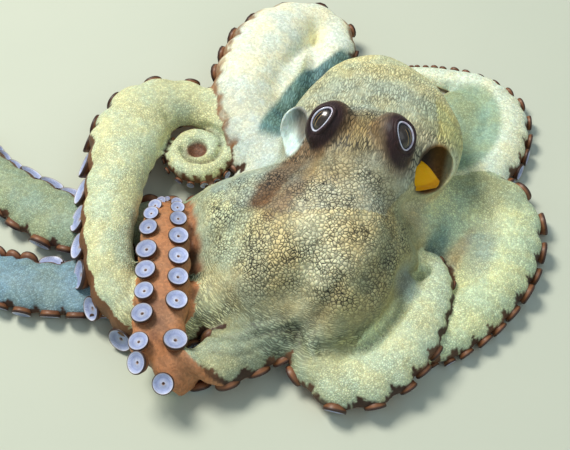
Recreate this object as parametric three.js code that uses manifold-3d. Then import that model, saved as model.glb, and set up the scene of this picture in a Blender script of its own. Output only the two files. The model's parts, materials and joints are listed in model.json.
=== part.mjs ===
// A common octopus at rest on a flat floor, in millimetres, +Z up.
// The origin lies on the floor under the mouth, at the middle of the crown of eight arms.
// The head stands over the crown, the mantle points along +Y, and the front arms lie towards -Y.
// Right and left are the animal's own: its right side is at -X.
import * as THREE from 'three';
import { mergeVertices } from 'three/addons/utils/BufferGeometryUtils.js';
import Module from 'manifold-3d';

const wasm = await Module();
wasm.setup();

// ---------------------------------------------------------------- driving dimensions
const SEAM = 0.3;            // clear gap between neighbouring pieces
const FLOOR_SIZE = 600;

const EYE_RADIUS = 9.5;
const EYE_SPACING = 32;      // between the middles of the two eyeballs
const EYE_MIDDLE = [-1.5, 33.5];  // the point midway between them, seen from above
const EYE_HEIGHT = 70;
const BROW_RADIUS = 12;
const BROW_SET_BACK = 3.5;   // the brow's middle lies this far behind the eye's, so the eye bulges out
const RIGHT_GAZE = [-0.39, -0.52, 0.76];
const LEFT_GAZE = [0.66, -0.36, 0.66];
const EYE_FACETS = [12, 8];  // round and up

const HEAD_RADII = [29, 30, 27];
const HEAD_CENTRE = [0, 32, 47];
const HEAD_FACETS = [12, 8];

const MANTLE_LENGTH = 92;    // from the collar to the rear end
const MANTLE_WIDTH = 93;
const MANTLE_HEIGHT = 54;
const MANTLE_CENTRE = [-1.5, 67, 38];
const MANTLE_YAW = 11;       // degrees that the rear end swings to the right side
const MANTLE_BLUNTNESS = 0.51;
const MANTLE_FULLNESS = 0.63; // under 1, the girth grows faster behind the collar than it falls at the rear
const MANTLE_RINGS = 8;
const MANTLE_SIDES = 14;
// The collar flares into a lobe at each side of the head, with an opening in front of it.
const LOBES = [
  { centre: [-37.5, 47, 45], radii: [10.5, 13, 11], opening: [-40, 39, 51], reach: [7, 12, 9.5] },
  { centre: [33, 48, 38.5], radii: [12.5, 12, 12.5], opening: [35.5, 40, 41], reach: [9.5, 12, 10.5] },
];
const LOBE_FACETS = [12, 6];

const FUNNEL_FROM = [24, 34, 44.5];
const FUNNEL_TO = [40, 37, 37];
const FUNNEL_RADII = [9, 4.6];
const FUNNEL_BORE = 3.2;
const FUNNEL_DEPTH = 8;
const BORE_OVERRUN = 1;      // how far the bore's cut starts outside the lip
const FUNNEL_SIDES = 10;

const CROWN_HEIGHT = 59;     // top of the web above its hem, where the head joins it
const HEM_HEIGHT = 2.5;
const CROWN_BOW = 2.15;      // higher makes the dome flatter on top and steeper at the hem
const CROWN_FALL = 0.92;     // lower makes the last slope down to the hem steeper
const CROWN_REACH = 62;      // mean reach of the web over the floor
const CROWN_LEAN = { bearing: -148, reach: 21 };                 // it reaches further on its leading side
const CROWN_SKIRT = { bearing: 176, spread: 24, reach: 15 };     // and in a skirt under the raised right arms
const CROWN_NOTCH = { bearing: -104, spread: 13, reach: -17 };   // and is notched between the front arms
const CROWN_SECTORS = 27;
// A membrane spans the floor between the web and the second left arm.
const LEFT_WEB_CENTRE = [56, 18, 2];
const LEFT_WEB_RADII = [15, 32, 14];
const LEFT_WEB_FACETS = [14, 6];
const REAR_WEB_CENTRE = [40, 98, 3];    // the web between the third left arm and the mantle
const REAR_WEB_RADII = [18, 30, 11];
const CROWN_SHARES = [0.02, 0.22, 0.42, 0.6, 0.76, 0.88, 0.95, 1];   // rings, as shares of the reach

const ARM_BACK_SIDES = 5;    // facets over an arm's round back
const ARM_STEP = 9.8;        // length of arm between its cross-sections
const FINE_STEP = 6.4;       // the same where an arm twists over or coils
const ARM_FLATNESS = 0.56;   // depth of a full-width arm as a share of its width
const TIP_FLATNESS = 0.85;   // the same at the tip, where the arm is nearly round
const FOOT_SHARE = 0.74;     // width of the flat sucker side as a share of the arm's width
const EDGE_HEIGHT = 0.3;     // height of an arm's two edges as a share of its depth
const BACK_FULLNESS = 0.9;   // under 1, the back is fuller than an ellipse
const BEND_SPAN = 8;         // how far each way an arm's bend is measured
const BEND_ROOM = 0.8;       // the inner side of a bend reaches this share of the way to the bend's middle
const COIL_STOPS = 12;
const COIL_FULLNESS = 0.6;   // under 1, the coil is broadest in its first turn

const SUCKER_HEIGHT = 1.6;
const SUCKER_SHARE = 0.4;    // sucker diameter as a share of the arm's width
const SUCKER_ROW = 0.25;     // each row runs this share of the width from the middle line
const SUCKER_SMALLEST = 1.6;
const SUCKER_TAPER = 0.9;    // its face is this much narrower than its foot
const SUCKER_PITCH = 1.12;   // distance along the arm to the next sucker, in radii
const SUCKER_SIDES = 6;
const SUCKERS_FROM = 0.48;   // the share of the arm's length where its turned-up suckers start

// Each arm's route over the floor. A stop is [x, y, lift, width], the lift being the height of its
// sucker side above the floor. Where one arm lies over another, the upper arm comes first.
// From the share fineFrom of its length, an arm's cross-sections are closer together.
const ARMS = {
  arm_right_1: {
    fineFrom: 0,
    rollOver: [0.3, 0.46],
    route: [[-4, -30, 6, 32], [-20, -54, 4, 32], [-35, -70, 4, 32], [-49, -82, 5, 31], [-61, -88, 8, 30],
      [-70, -82, 12, 29], [-74, -69, 15, 28], [-78.5, -54, 17, 28], [-83.5, -40, 17, 28], [-88, -26, 17, 27],
      [-91.5, -13, 15, 24], [-94, -3, 11, 19], [-96, 6, 6, 11], [-96, 12, 3, 5]],
  },
  arm_left_1: {
    route: [[2, -28, 8, 36], [1, -50, 4, 37], [13, -67, 1, 36], [30, -63, 2, 33], [42, -47, 7, 30],
      [47, -29, 8, 26], [49, -13, 8, 21], [48, -1, 9, 16], [42, 6, 10, 12], [35, 2, 11, 9],
      [33, -8, 12, 6], [34, -18, 13, 3]],
  },
  arm_right_2: {
    fineFrom: 0.6,
    route: [[-24, -22, 2, 32], [-52, -44, 0, 33], [-80, -62, 0, 33], [-101, -56, 7, 33],
      [-114, -34, 13, 33], [-123, -8, 13, 34], [-128, 18, 12, 37], [-129.5, 40, 8, 39], [-126, 58, 5, 39],
      [-113, 70, 3, 33], [-98, 72.5, 1, 23], [-87.5, 67.5, 0, 14], [-79.5, 58.5, 0, 10.5]],
    coil: { centre: [-91.5, 45], start: 0, turns: -1.3, radius: [15.3, 4.2], width: [9.6, 3.2], swell: 3.6, rise: 3 },
  },
  arm_left_2: {
    route: [[18, 8, 4, 32], [32, 26, 2, 33], [45, 45, 0, 33], [61, 57, 0, 35], [76, 49, 0, 35],
      [81, 30, 0, 34], [78, 7, 0, 33], [70, -14, 0, 30], [60, -31, 0, 24], [50, -42, 0, 15],
      [43, -52, 0, 8], [38, -60, 0, 4]],
  },
  arm_left_4: {
    route: [[-18, 24, 3, 40], [-46, 44, 3, 43], [-68, 64, 6, 42], [-77, 85, 10, 41], [-78, 106, 11, 43],
      [-74, 127, 10, 43], [-64, 143, 8, 37], [-51, 148, 7, 30], [-41, 140, 6, 26], [-40, 127, 5, 26],
      [-42, 113, 4, 25], [-43, 99, 3, 23], [-44, 87, 2, 17], [-44, 77, 1, 7]],
  },
  arm_left_3: {
    route: [[20, 26, 3, 30], [42, 52, 0, 31], [58, 74, 0, 31], [65, 97, 0, 30], [62, 119, 0, 27],
      [49, 132, 0, 22], [31, 138, 0, 17], [12, 139, 0, 12], [-6, 136, 0, 8], [-22, 130, 0, 4]],
  },
  arm_right_4: {
    flatness: 0.37,
    route: [[-30, 8, 3, 34], [-62, 4, 0, 34], [-95, -6, 0, 34], [-125, -14, 0, 38], [-148, -15, 0, 40],
      [-170, -8, 0, 36], [-191, 4, 0, 27], [-205, 20, 0, 16], [-210, 36, 0, 4]],
  },
  arm_right_3: {
    flatness: 0.37,
    route: [[-30, -10, 3, 34], [-62, -28, 0, 34], [-95, -44, 0, 35], [-122, -53, 0, 36], [-145, -58, 0, 34],
      [-168, -57, 0, 29], [-188, -47, 0, 19], [-198, -30, 0, 5]],
  },
};
const ARM_LENGTHS = { base: [0, 0.36], middle: [0.36, 0.68], tip: [0.68, 1] };

// ---------------------------------------------------------------- materials
const paint = (color, roughness = 0.5) => new THREE.MeshStandardMaterial({ color, roughness, metalness: 0 });
const SKIN = paint(0xb9b58c, 0.55);
const ARM_SKIN = paint(0xc9c9a2, 0.5);
const TURNED_SKIN = paint(0xa5613c, 0.5);
const FUNNEL_SKIN = paint(0xd98a18, 0.45);
const EYE = paint(0x3a2c22, 0.15);

// ---------------------------------------------------------------- small helpers
const radians = THREE.MathUtils.degToRad;
const mix = THREE.MathUtils.lerp;
const smoothstep = THREE.MathUtils.smoothstep;

// A closed three.js geometry as a solid that can be cut and joined.
function solidOf(geometry) {
  const bare = geometry.clone();
  bare.deleteAttribute('normal');
  bare.deleteAttribute('uv');
  const merged = mergeVertices(bare, 1e-4);
  return new wasm.Manifold(new wasm.Mesh({
    numProp: 3,
    vertProperties: merged.attributes.position.array,
    triVerts: new Uint32Array(merged.index.array),
  }));
}

function geometryOf(solid) {
  const mesh = solid.getMesh();
  const geometry = new THREE.BufferGeometry();
  geometry.setAttribute('position', new THREE.BufferAttribute(new Float32Array(mesh.vertProperties), 3));
  geometry.setIndex(new THREE.BufferAttribute(mesh.triVerts, 1));
  geometry.computeVertexNormals();
  return geometry;
}

// An ellipsoid of the given radii, grown by a margin on every side.
function ellipsoid(radii, centre, grow, facets) {
  const geometry = new THREE.SphereGeometry(1, ...facets);
  geometry.scale(...radii.map((radius) => radius + grow));
  geometry.translate(...centre);
  return solidOf(geometry);
}

// A closed geometry from rings of points: each ring is joined to the next, and both ends are capped.
function loft(rings) {
  const count = rings[0].length;
  const last = (rings.length - 1) * count;
  const index = [];
  for (let start = 0; start < last; start += count) {
    for (let side = 0; side < count; side++) {
      const here = start + side;
      const next = start + (side + 1) % count;
      index.push(here, next, next + count, here, next + count, here + count);
    }
  }
  for (let side = 1; side < count - 1; side++) {
    index.push(0, side + 1, side, last, last + side, last + side + 1);
  }
  const geometry = new THREE.BufferGeometry();
  geometry.setAttribute('position', new THREE.Float32BufferAttribute(rings.flat(2), 3));
  geometry.setIndex(index);
  return geometry;
}

// ---------------------------------------------------------------- arms
// The stops of an arm's route: the hand-set ones, and then the turns of its coil.
function stopsOf({ route, coil }) {
  if (!coil) {
    return route;
  }
  const turned = Array.from({ length: COIL_STOPS + 1 }, (_, i) => {
    const share = i / COIL_STOPS;
    const bearing = radians(coil.start + 360 * coil.turns * share);
    const radius = mix(...coil.radius, share);
    const width = mix(...coil.width, share) + coil.swell * Math.sin(Math.PI * share ** COIL_FULLNESS);
    const [x, y] = coil.centre;
    return [x + radius * Math.cos(bearing), y + radius * Math.sin(bearing), coil.rise * share, width];
  });
  return [...route, ...turned];
}

// An arm as a smooth curve under its sucker side, with its width and roll at any share of its length.
function armOf(spec) {
  const stops = stopsOf(spec);
  const curve = new THREE.CatmullRomCurve3(stops.map((stop) => new THREE.Vector3(...stop)), false, 'centripetal');
  curve.arcLengthDivisions = 400;
  const flatness = spec.flatness ?? ARM_FLATNESS;
  const broadest = Math.max(...stops.map((stop) => stop[3]));
  const [rollFrom, rollTo] = spec.rollOver ?? [2, 3];

  const length = curve.getLength();

  // How fast the route turns at a share of its length, in radians for each millimetre, left being plus.
  function turnAt(share) {
    const from = Math.max(0, share - BEND_SPAN / length);
    const to = Math.min(1, share + BEND_SPAN / length);
    const [a, b] = [curve.getTangentAt(from), curve.getTangentAt(to)];
    return Math.atan2(a.x * b.y - a.y * b.x, a.x * b.x + a.y * b.y) / ((to - from) * length);
  }

  function at(share) {
    const place = curve.getUtoTmapping(share) * (stops.length - 1);
    const before = Math.min(Math.floor(place), stops.length - 2);
    const width = mix(stops[before][3], stops[before + 1][3], place - before);
    const ahead = curve.getTangentAt(share);
    const roll = Math.PI * smoothstep(share, rollFrom, rollTo);
    const turn = turnAt(share) * Math.abs(Math.cos(roll));
    return {
      foot: curve.getPointAt(share),
      side: new THREE.Vector3(-ahead.y, ahead.x, 0).normalize(),
      width,
      left: Math.min(width / 2, BEND_ROOM / Math.max(turn, 1e-6)),
      right: Math.min(width / 2, BEND_ROOM / Math.max(-turn, 1e-6)),
      depth: width * mix(TIP_FLATNESS, flatness, width / broadest),
      roll,
    };
  }
  return { at, length, fineFrom: spec.fineFrom ?? 1 };
}

// A point of an arm's cross-section, rolled about the section's middle.
function sectionPoint({ foot, side, depth, roll }, across, height) {
  const up = height - depth / 2;
  const sideways = across * Math.cos(roll) - up * Math.sin(roll);
  const upward = across * Math.sin(roll) + up * Math.cos(roll);
  return [foot.x + side.x * sideways, foot.y + side.y * sideways, foot.z + depth / 2 + upward];
}

// One cross-section: a round back over a flat, narrower sucker side.
function sectionOf(place, grow) {
  const across = (share) => share * (grow + (share > 0 ? place.left : place.right));
  const points = [];
  for (let i = 0; i <= ARM_BACK_SIDES; i++) {
    const angle = Math.PI * i / ARM_BACK_SIDES;
    const height = place.depth * mix(EDGE_HEIGHT, 1, Math.sin(angle) ** BACK_FULLNESS);
    points.push(sectionPoint(place, across(Math.cos(angle)), height + grow * Math.sin(angle)));
  }
  for (const end of [-1, 1]) {
    points.push(sectionPoint(place, across(end * FOOT_SHARE), -grow));
  }
  return points;
}

// The stretch of an arm between two shares of its length. Only its two end sections move as it grows.
function armSolid(arm, from, to, grow) {
  const step = from >= arm.fineFrom ? FINE_STEP : ARM_STEP;
  const steps = Math.max(3, Math.round(arm.length * (to - from) / step));
  const shares = Array.from({ length: steps + 1 }, (_, i) => mix(from, to, i / steps));
  shares[0] = Math.max(0, from - grow / arm.length);
  shares[steps] = Math.min(1, to + grow / arm.length);
  return solidOf(loft(shares.map((share) => sectionOf(arm.at(share), grow))));
}

// The suckers on the turned-up stretch of an arm, in two rows that get smaller towards the tip.
function suckersOn(arm, from, to, grow) {
  const suckers = [];
  let share = SUCKERS_FROM;
  let radius = SUCKER_SMALLEST;
  for (let count = 0; radius >= SUCKER_SMALLEST; count++) {
    const place = arm.at(share);
    radius = place.width * SUCKER_SHARE / 2;
    if (share > from && share < to) {
      const row = (count % 2 ? 1 : -1) * SUCKER_ROW * place.width;
      const [x, y, z] = sectionPoint(place, row, 0);
      const [face, root] = [radius * SUCKER_TAPER + grow, radius + grow];
      const disc = new THREE.CylinderGeometry(face, root, 2 * SUCKER_HEIGHT, SUCKER_SIDES);
      disc.rotateX(Math.PI / 2);
      disc.translate(x, y, z);
      suckers.push(solidOf(disc));
    }
    share += radius * SUCKER_PITCH / arm.length;
  }
  return suckers;
}

// ---------------------------------------------------------------- crown and web
// How far the web reaches over the floor in a direction given in degrees.
function crownReach(bearing) {
  const lean = CROWN_LEAN.reach * Math.cos(radians(bearing - CROWN_LEAN.bearing));
  const lobe = ({ bearing: middle, spread, reach }) => {
    const turn = THREE.MathUtils.euclideanModulo(bearing - middle + 180, 360) - 180;
    return reach * Math.exp(-((turn / spread) ** 2));
  };
  return CROWN_REACH + lean + lobe(CROWN_SKIRT) + lobe(CROWN_NOTCH);
}

// The web as a dome of rings: highest under the head, with a thin hem round its outline.
function crownSolid(grow) {
  const ringAt = (share, height) => Array.from({ length: CROWN_SECTORS }, (_, i) => {
    const bearing = 360 * i / CROWN_SECTORS;
    const reach = (crownReach(bearing) + grow) * share;
    return [reach * Math.cos(radians(bearing)), reach * Math.sin(radians(bearing)), height];
  });
  const heightAt = (share) => CROWN_HEIGHT * (1 - share ** CROWN_BOW) ** CROWN_FALL + HEM_HEIGHT + grow;
  const top = CROWN_SHARES.map((share) => ringAt(share, heightAt(share)));
  return solidOf(loft([ringAt(CROWN_SHARES[0], -grow), ringAt(1, -grow), ...top.reverse()]));
}

// ---------------------------------------------------------------- head, eyes and funnel
const [EYE_X, EYE_Y] = EYE_MIDDLE;
const eyeAt = (side) => new THREE.Vector3(EYE_X + side * EYE_SPACING / 2, EYE_Y, EYE_HEIGHT);
const EYES = {
  eye_right: { centre: eyeAt(-1), gaze: new THREE.Vector3(...RIGHT_GAZE).normalize() },
  eye_left: { centre: eyeAt(1), gaze: new THREE.Vector3(...LEFT_GAZE).normalize() },
};

const ball = (radius, centre, grow) => ellipsoid([radius, radius, radius], centre, grow, EYE_FACETS);
const eyeSolid = ({ centre }, grow) => ball(EYE_RADIUS, centre, grow);

function headSolid(grow) {
  let head = ellipsoid(HEAD_RADII, HEAD_CENTRE, grow, HEAD_FACETS);
  for (const { centre, gaze } of Object.values(EYES)) {
    const middle = centre.clone().addScaledVector(gaze, -BROW_SET_BACK);
    head = head.add(ball(BROW_RADIUS, middle, grow));
  }
  return head;
}

// A cone from one point to another, for the funnel and its bore.
function taper(from, to, radii) {
  const start = new THREE.Vector3(...from);
  const along = new THREE.Vector3(...to).sub(start);
  const geometry = new THREE.CylinderGeometry(radii[1], radii[0], along.length(), FUNNEL_SIDES);
  geometry.translate(0, along.length() / 2, 0);
  const up = new THREE.Vector3(0, 1, 0);
  geometry.applyQuaternion(new THREE.Quaternion().setFromUnitVectors(up, along.clone().normalize()));
  geometry.translate(...start);
  return solidOf(geometry);
}

function funnelSolid(grow) {
  const tube = taper(FUNNEL_FROM, FUNNEL_TO, FUNNEL_RADII.map((radius) => radius + grow));
  if (grow > 0) {
    return tube;
  }
  const mouth = new THREE.Vector3(...FUNNEL_TO);
  const back = new THREE.Vector3(...FUNNEL_FROM).sub(mouth).normalize();
  const bottom = mouth.clone().addScaledVector(back, FUNNEL_DEPTH);
  const outside = mouth.clone().addScaledVector(back, -BORE_OVERRUN);
  return tube.subtract(taper(bottom, outside, [FUNNEL_BORE, FUNNEL_BORE]));
}

// ---------------------------------------------------------------- mantle
// A blunt bag turned about its own length, with the collar's two lobes and their openings.
function mantleSolid(grow) {
  const profile = Array.from({ length: MANTLE_RINGS + 1 }, (_, i) => {
    const share = i / MANTLE_RINGS;
    const girth = i % MANTLE_RINGS ? Math.sin(Math.PI * share ** MANTLE_FULLNESS) ** MANTLE_BLUNTNESS : 0;
    return new THREE.Vector2(girth / 2, share - 0.5);
  });
  const geometry = new THREE.LatheGeometry(profile, MANTLE_SIDES);
  geometry.scale(MANTLE_WIDTH + 2 * grow, MANTLE_LENGTH + 2 * grow, MANTLE_HEIGHT + 2 * grow);
  geometry.rotateZ(radians(MANTLE_YAW));
  geometry.translate(...MANTLE_CENTRE);
  let bag = solidOf(geometry);
  for (const { centre, radii } of LOBES) {
    bag = bag.add(ellipsoid(radii, centre, grow, LOBE_FACETS));
  }
  for (const { opening, reach } of LOBES) {
    bag = bag.subtract(ellipsoid(reach, opening, -grow, LOBE_FACETS));
  }
  return bag;
}

// ---------------------------------------------------------------- assembly
const group = new THREE.Group();
const placed = [];

const floor = new THREE.BoxGeometry(FLOOR_SIZE, FLOOR_SIZE, FLOOR_SIZE).translate(0, 0, -FLOOR_SIZE / 2);
const underFloor = solidOf(floor);

// Adds a piece that is flat where it meets the floor and gives way, by the seam, to every earlier piece.
function place(name, material, build) {
  let solid = build(0).subtract(underFloor);
  for (const earlier of placed) {
    solid = solid.subtract(earlier);
  }
  const [whole] = solid.decompose().sort((a, b) => b.volume() - a.volume());
  const mesh = new THREE.Mesh(geometryOf(whole), material);
  mesh.name = name;
  group.add(mesh);
  placed.push(build(SEAM));
}

for (const [name, eye] of Object.entries(EYES)) {
  place(name, EYE, (grow) => eyeSolid(eye, grow));
}
place('head', SKIN, headSolid);
place('web', SKIN, crownSolid);
for (const [name, spec] of Object.entries(ARMS)) {
  const arm = armOf(spec);
  for (const [part, [from, to]] of Object.entries(ARM_LENGTHS)) {
    const turned = spec.rollOver && part !== 'base';
    place(`${name}_${part}`, turned ? TURNED_SKIN : ARM_SKIN, (grow) => {
      const stretch = armSolid(arm, from, to, grow);
      return turned ? suckersOn(arm, from, to, grow).reduce((sum, disc) => sum.add(disc), stretch) : stretch;
    });
  }
}
place('web_left', SKIN, (grow) => ellipsoid(LEFT_WEB_RADII, LEFT_WEB_CENTRE, grow, LEFT_WEB_FACETS));
place('web_rear', SKIN, (grow) => ellipsoid(REAR_WEB_RADII, REAR_WEB_CENTRE, grow, LEFT_WEB_FACETS));
place('funnel', FUNNEL_SKIN, funnelSolid);
place('mantle', SKIN, mantleSolid);

export default group;
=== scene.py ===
# %% [markdown]
# # A common octopus at rest, life size
# The model is still: one animal on a plain floor, with its head up, its mantle behind and
# its eight arms curled round it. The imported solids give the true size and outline. This
# notebook grows one skin over all of them, and then adds the eyes, the funnel, the suckers,
# the floor, the lights and the finishes. Every cell says what it makes and why it is made so.

# %% Load the frame
import json
import math

import bpy
import numpy as np
from mathutils import Matrix, Vector

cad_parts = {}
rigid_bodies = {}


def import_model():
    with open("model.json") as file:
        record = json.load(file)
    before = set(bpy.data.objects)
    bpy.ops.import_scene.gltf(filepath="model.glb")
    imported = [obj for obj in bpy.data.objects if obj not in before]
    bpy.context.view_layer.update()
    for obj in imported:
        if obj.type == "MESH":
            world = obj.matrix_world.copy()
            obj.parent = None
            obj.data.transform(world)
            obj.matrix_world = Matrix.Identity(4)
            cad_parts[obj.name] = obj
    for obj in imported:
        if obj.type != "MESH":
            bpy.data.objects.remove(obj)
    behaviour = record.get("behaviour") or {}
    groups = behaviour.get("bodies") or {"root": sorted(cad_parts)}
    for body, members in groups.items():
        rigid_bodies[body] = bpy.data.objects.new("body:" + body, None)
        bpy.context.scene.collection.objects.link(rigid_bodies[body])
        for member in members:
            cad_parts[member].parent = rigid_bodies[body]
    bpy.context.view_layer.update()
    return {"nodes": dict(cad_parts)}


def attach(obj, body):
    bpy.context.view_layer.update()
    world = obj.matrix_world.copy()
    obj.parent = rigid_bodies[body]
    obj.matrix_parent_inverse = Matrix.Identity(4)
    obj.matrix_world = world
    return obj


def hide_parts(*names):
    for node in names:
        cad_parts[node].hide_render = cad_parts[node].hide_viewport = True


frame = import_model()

# %% [markdown]
# ## Camera
# The animal is seen by someone who leans over the edge of a pool, so the camera looks down
# steeply, a little from the animal's left. A camera object is added at its place and turned
# to look at a point near the middle of the body: `to_track_quat` works out that turn.

# %% Camera
CAMERA_AZIMUTH = math.radians(16)
CAMERA_ELEVATION = math.radians(54)
CAMERA_DISTANCE = 0.6
CAMERA_TARGET = Vector((-0.031437, 0.003569, 0.02))
CAMERA_LENS = 75

outward = Vector((
    math.sin(CAMERA_AZIMUTH) * math.cos(CAMERA_ELEVATION),
    -math.cos(CAMERA_AZIMUTH) * math.cos(CAMERA_ELEVATION),
    math.sin(CAMERA_ELEVATION),
))
bpy.ops.object.camera_add(
    location=CAMERA_TARGET + outward * CAMERA_DISTANCE,
    rotation=(-outward).to_track_quat("-Z", "Y").to_euler(),
)
camera = bpy.context.object
camera.data.lens = CAMERA_LENS
bpy.context.scene.camera = camera
print("camera at", [round(x, 3) for x in camera.location])

# %% [markdown]
# ## Helpers for picking and for modifiers
# An operator works on what is selected, and the loaded solids start out selected. `pick`
# makes one object the only one chosen, and `add_primitive` drops the selection before a new
# piece is added. `finish_modifier` adds a modifier and applies it at once, so the mesh holds
# its final shape.

# %% Picking and modifiers
MM = 0.001


def pick(piece):
    bpy.ops.object.select_all(action="DESELECT")
    piece.select_set(True)
    bpy.context.view_layer.objects.active = piece


def add_primitive(name, operator, **settings):
    bpy.ops.object.select_all(action="DESELECT")
    operator(**settings)
    bpy.context.object.name = name
    return bpy.context.object


def shade_round(piece):
    pick(piece)
    bpy.ops.object.shade_smooth()


def finish_modifier(piece, kind, **settings):
    pick(piece)
    modifier = piece.modifiers.new(kind.title(), kind)
    for name, value in settings.items():
        setattr(modifier, name, value)
    bpy.ops.object.modifier_apply(modifier=modifier.name)


def join(pieces):
    bpy.ops.object.select_all(action="DESELECT")
    for piece in pieces:
        piece.select_set(True)
    bpy.context.view_layer.objects.active = pieces[0]
    bpy.ops.object.join()
    return pieces[0]


def rows_of(piece, what):
    """One row of three numbers for each vertex: its place, co, or its normal."""
    flat = np.zeros(len(piece.data.vertices) * 3, np.float32)
    piece.data.vertices.foreach_get(what, flat)
    return flat.reshape(-1, 3).astype(float)


def points_of(piece):
    """The piece's vertices as rows of millimetres."""
    return rows_of(piece, "co") / MM


def set_points(piece, points):
    piece.data.vertices.foreach_set("co", (points * MM).astype(np.float32).ravel())
    piece.data.update()


def kept_above(points, height):
    """The points, with those below a height lifted to it."""
    return np.maximum(points, [-np.inf, -np.inf, height])


# %% [markdown]
# ## A woven form
# Arms, web and lids have sections that change along their length, which no plain primitive
# has. A grid is added, and each of its rows is laid round the form as one ring. Where the
# first and last columns meet, and where an end row shrinks to one point, `remove_doubles`
# welds them, so the form is closed.

# %% Woven forms
WELD = 2e-6


def woven(name, rings):
    """A closed form over rings, an array of rows of points in millimetres."""
    rows, columns = rings.shape[:2]
    piece = add_primitive(name, bpy.ops.mesh.primitive_grid_add,
                          x_subdivisions=columns - 1, y_subdivisions=rows - 1)
    set_points(piece, rings.reshape(-1, 3))
    bpy.ops.object.mode_set(mode="EDIT")
    bpy.ops.mesh.select_all(action="SELECT")
    bpy.ops.mesh.remove_doubles(threshold=WELD)
    bpy.ops.mesh.normals_make_consistent(inside=False)
    bpy.ops.object.mode_set(mode="OBJECT")
    return piece


def smoothstep(value, low, high):
    share = np.clip((value - low) / (high - low), 0, 1)
    return share * share * (3 - 2 * share)


def mix(a, b, share):
    return a + (b - a) * share


print("points nearer than", WELD / MM, "mm are welded")

# %% [markdown]
# ## The routes of the eight arms
# Each arm is a smooth curve over the floor. A stop is x, y, the height of the sucker side
# and the width, all in millimetres. The routes are those of the solids, with small
# corrections of the flesh. Right and left are the animal's own. One arm rolls over halfway,
# so that its suckers face up, and another ends in a flat coil that a loop works out.
# `tucked` is the side whose suckers are pressed under the body, and `edge_up` the stretch
# where a row turns up past the hem.

# %% Routes
ARMS = {
    "arm_right_1": dict(
        roll=(0.3, 0.46),
        route=[(-4, -30, 6, 32), (-20, -54, 4, 32), (-35, -70, 4, 32), (-49, -82, 5, 31),
               (-61, -88, 8, 30), (-69, -82, 12, 29), (-72, -69, 15, 28), (-76, -54, 17, 28),
               (-80.5, -40, 17, 28), (-85, -26, 17, 27), (-89, -13, 15, 24), (-92, -3, 11, 19),
               (-94, 6, 6, 11), (-94, 12, 3, 5)]),
    "arm_left_1": dict(
        tucked=1,
        route=[(2, -28, 8, 36), (1, -50, 4, 37), (13, -67, 1, 36), (30, -63, 2, 33),
               (42, -47, 7, 30), (47, -29, 8, 26), (49, -13, 8, 21), (48, -1, 9, 16),
               (42, 6, 10, 12), (35, 2, 11, 9), (33, -8, 12, 6), (34, -18, 13, 3)]),
    "arm_right_2": dict(
        tucked=-1, edge_up=dict(row=1, span=(0.2, 0.46), pull=3.4),
        route=[(-24, -22, 2, 32), (-52, -44, 0, 33), (-80, -62, 0, 33), (-101, -56, 7, 33),
               (-114, -34, 13, 33), (-122, -8, 13, 36), (-126.5, 18, 12, 41), (-127, 40, 8, 45),
               (-124, 57, 7, 43), (-113, 67, 8, 36), (-99, 69, 9, 28), (-87, 63, 10, 20),
               (-79.5, 53, 10, 14)],
        coil=dict(centre=(-90.5, 39.5), turns=-1.5, radius=(13.6, 6.2), width=(13.6, 6.4), swell=2.2,
                  base=9, rise=5)),
    "arm_left_2": dict(
        tucked=-1,
        route=[(18, 8, 4, 32), (32, 26, 2, 33), (45, 45, 0, 33), (61, 57, 0, 35),
               (76, 49, 0, 35), (81, 30, 0, 34), (78, 7, 0, 33), (70, -14, 0, 30),
               (60, -31, 0, 24), (50, -42, 0, 15), (43, -52, 0, 8), (38, -60, 0, 4)]),
    "arm_left_4": dict(
        tucked=-1,
        route=[(-18, 24, 3, 40), (-46, 44, 3, 43), (-68, 64, 6, 42), (-77, 85, 10, 41),
               (-78, 106, 11, 43), (-74, 127, 10, 43), (-64, 143, 8, 37), (-51, 148, 7, 30),
               (-41, 140, 6, 26), (-40, 127, 5, 26), (-42, 113, 4, 25), (-43, 99, 3, 23),
               (-44, 87, 2, 17), (-44, 77, 1, 7)]),
    "arm_left_3": dict(
        tucked=1,
        route=[(20, 26, 3, 30), (42, 52, 0, 31), (58, 74, 0, 31), (65, 97, 0, 30),
               (62, 119, 0, 27), (49, 132, 0, 22), (31, 138, 0, 17), (12, 139, 0, 12),
               (-6, 136, 0, 8), (-22, 130, 0, 4)]),
    "arm_right_4": dict(
        flatness=0.37, edge_up=dict(row=-1, span=(0.5, 1.0), pull=2.5),
        route=[(-30, 8, 3, 34), (-62, 4, 0, 34), (-95, -6, 0, 34), (-125, -14, 0, 38),
               (-148, -15, 0, 40), (-170, -8, 0, 36), (-191, 4, 0, 27), (-205, 20, 0, 16),
               (-210, 36, 0, 4)]),
    "arm_right_3": dict(
        flatness=0.37, edge_up=dict(row=-1, span=(0.58, 0.66), pull=1.5),
        route=[(-30, -10, 3, 34), (-62, -28, 0, 34), (-95, -44, 0, 35), (-122, -53, 0, 36),
               (-145, -58, 0, 34), (-168, -57, 0, 29), (-188, -47, 0, 19), (-198, -30, 0, 5)]),
}
COIL_STOPS = 16
COIL_FULLNESS = 0.6
print("arms:", len(ARMS))


def stops_of(spec):
    """The route's listed stops, and then the turns of its coil."""
    stops = [tuple(stop) for stop in spec["route"]]
    coil = spec.get("coil")
    for i in range(COIL_STOPS + 1 if coil else 0):
        share = i / COIL_STOPS
        bearing = 2 * math.pi * coil["turns"] * share
        radius = mix(*coil["radius"], share)
        width = mix(*coil["width"], share) + coil["swell"] * math.sin(math.pi * share**COIL_FULLNESS)
        x, y = coil["centre"]
        stops.append((x + radius * math.cos(bearing), y + radius * math.sin(bearing),
                      coil["base"] + coil["rise"] * share, width))
    return np.array(stops, float)


# %% [markdown]
# ## A smooth curve through the stops
# A centripetal Catmull-Rom curve passes through every stop without loops or overshoot, so
# the arm goes exactly where its stops say. It is cut into short even steps, and each step
# knows its direction, its width and how sharply it bends.

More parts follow.
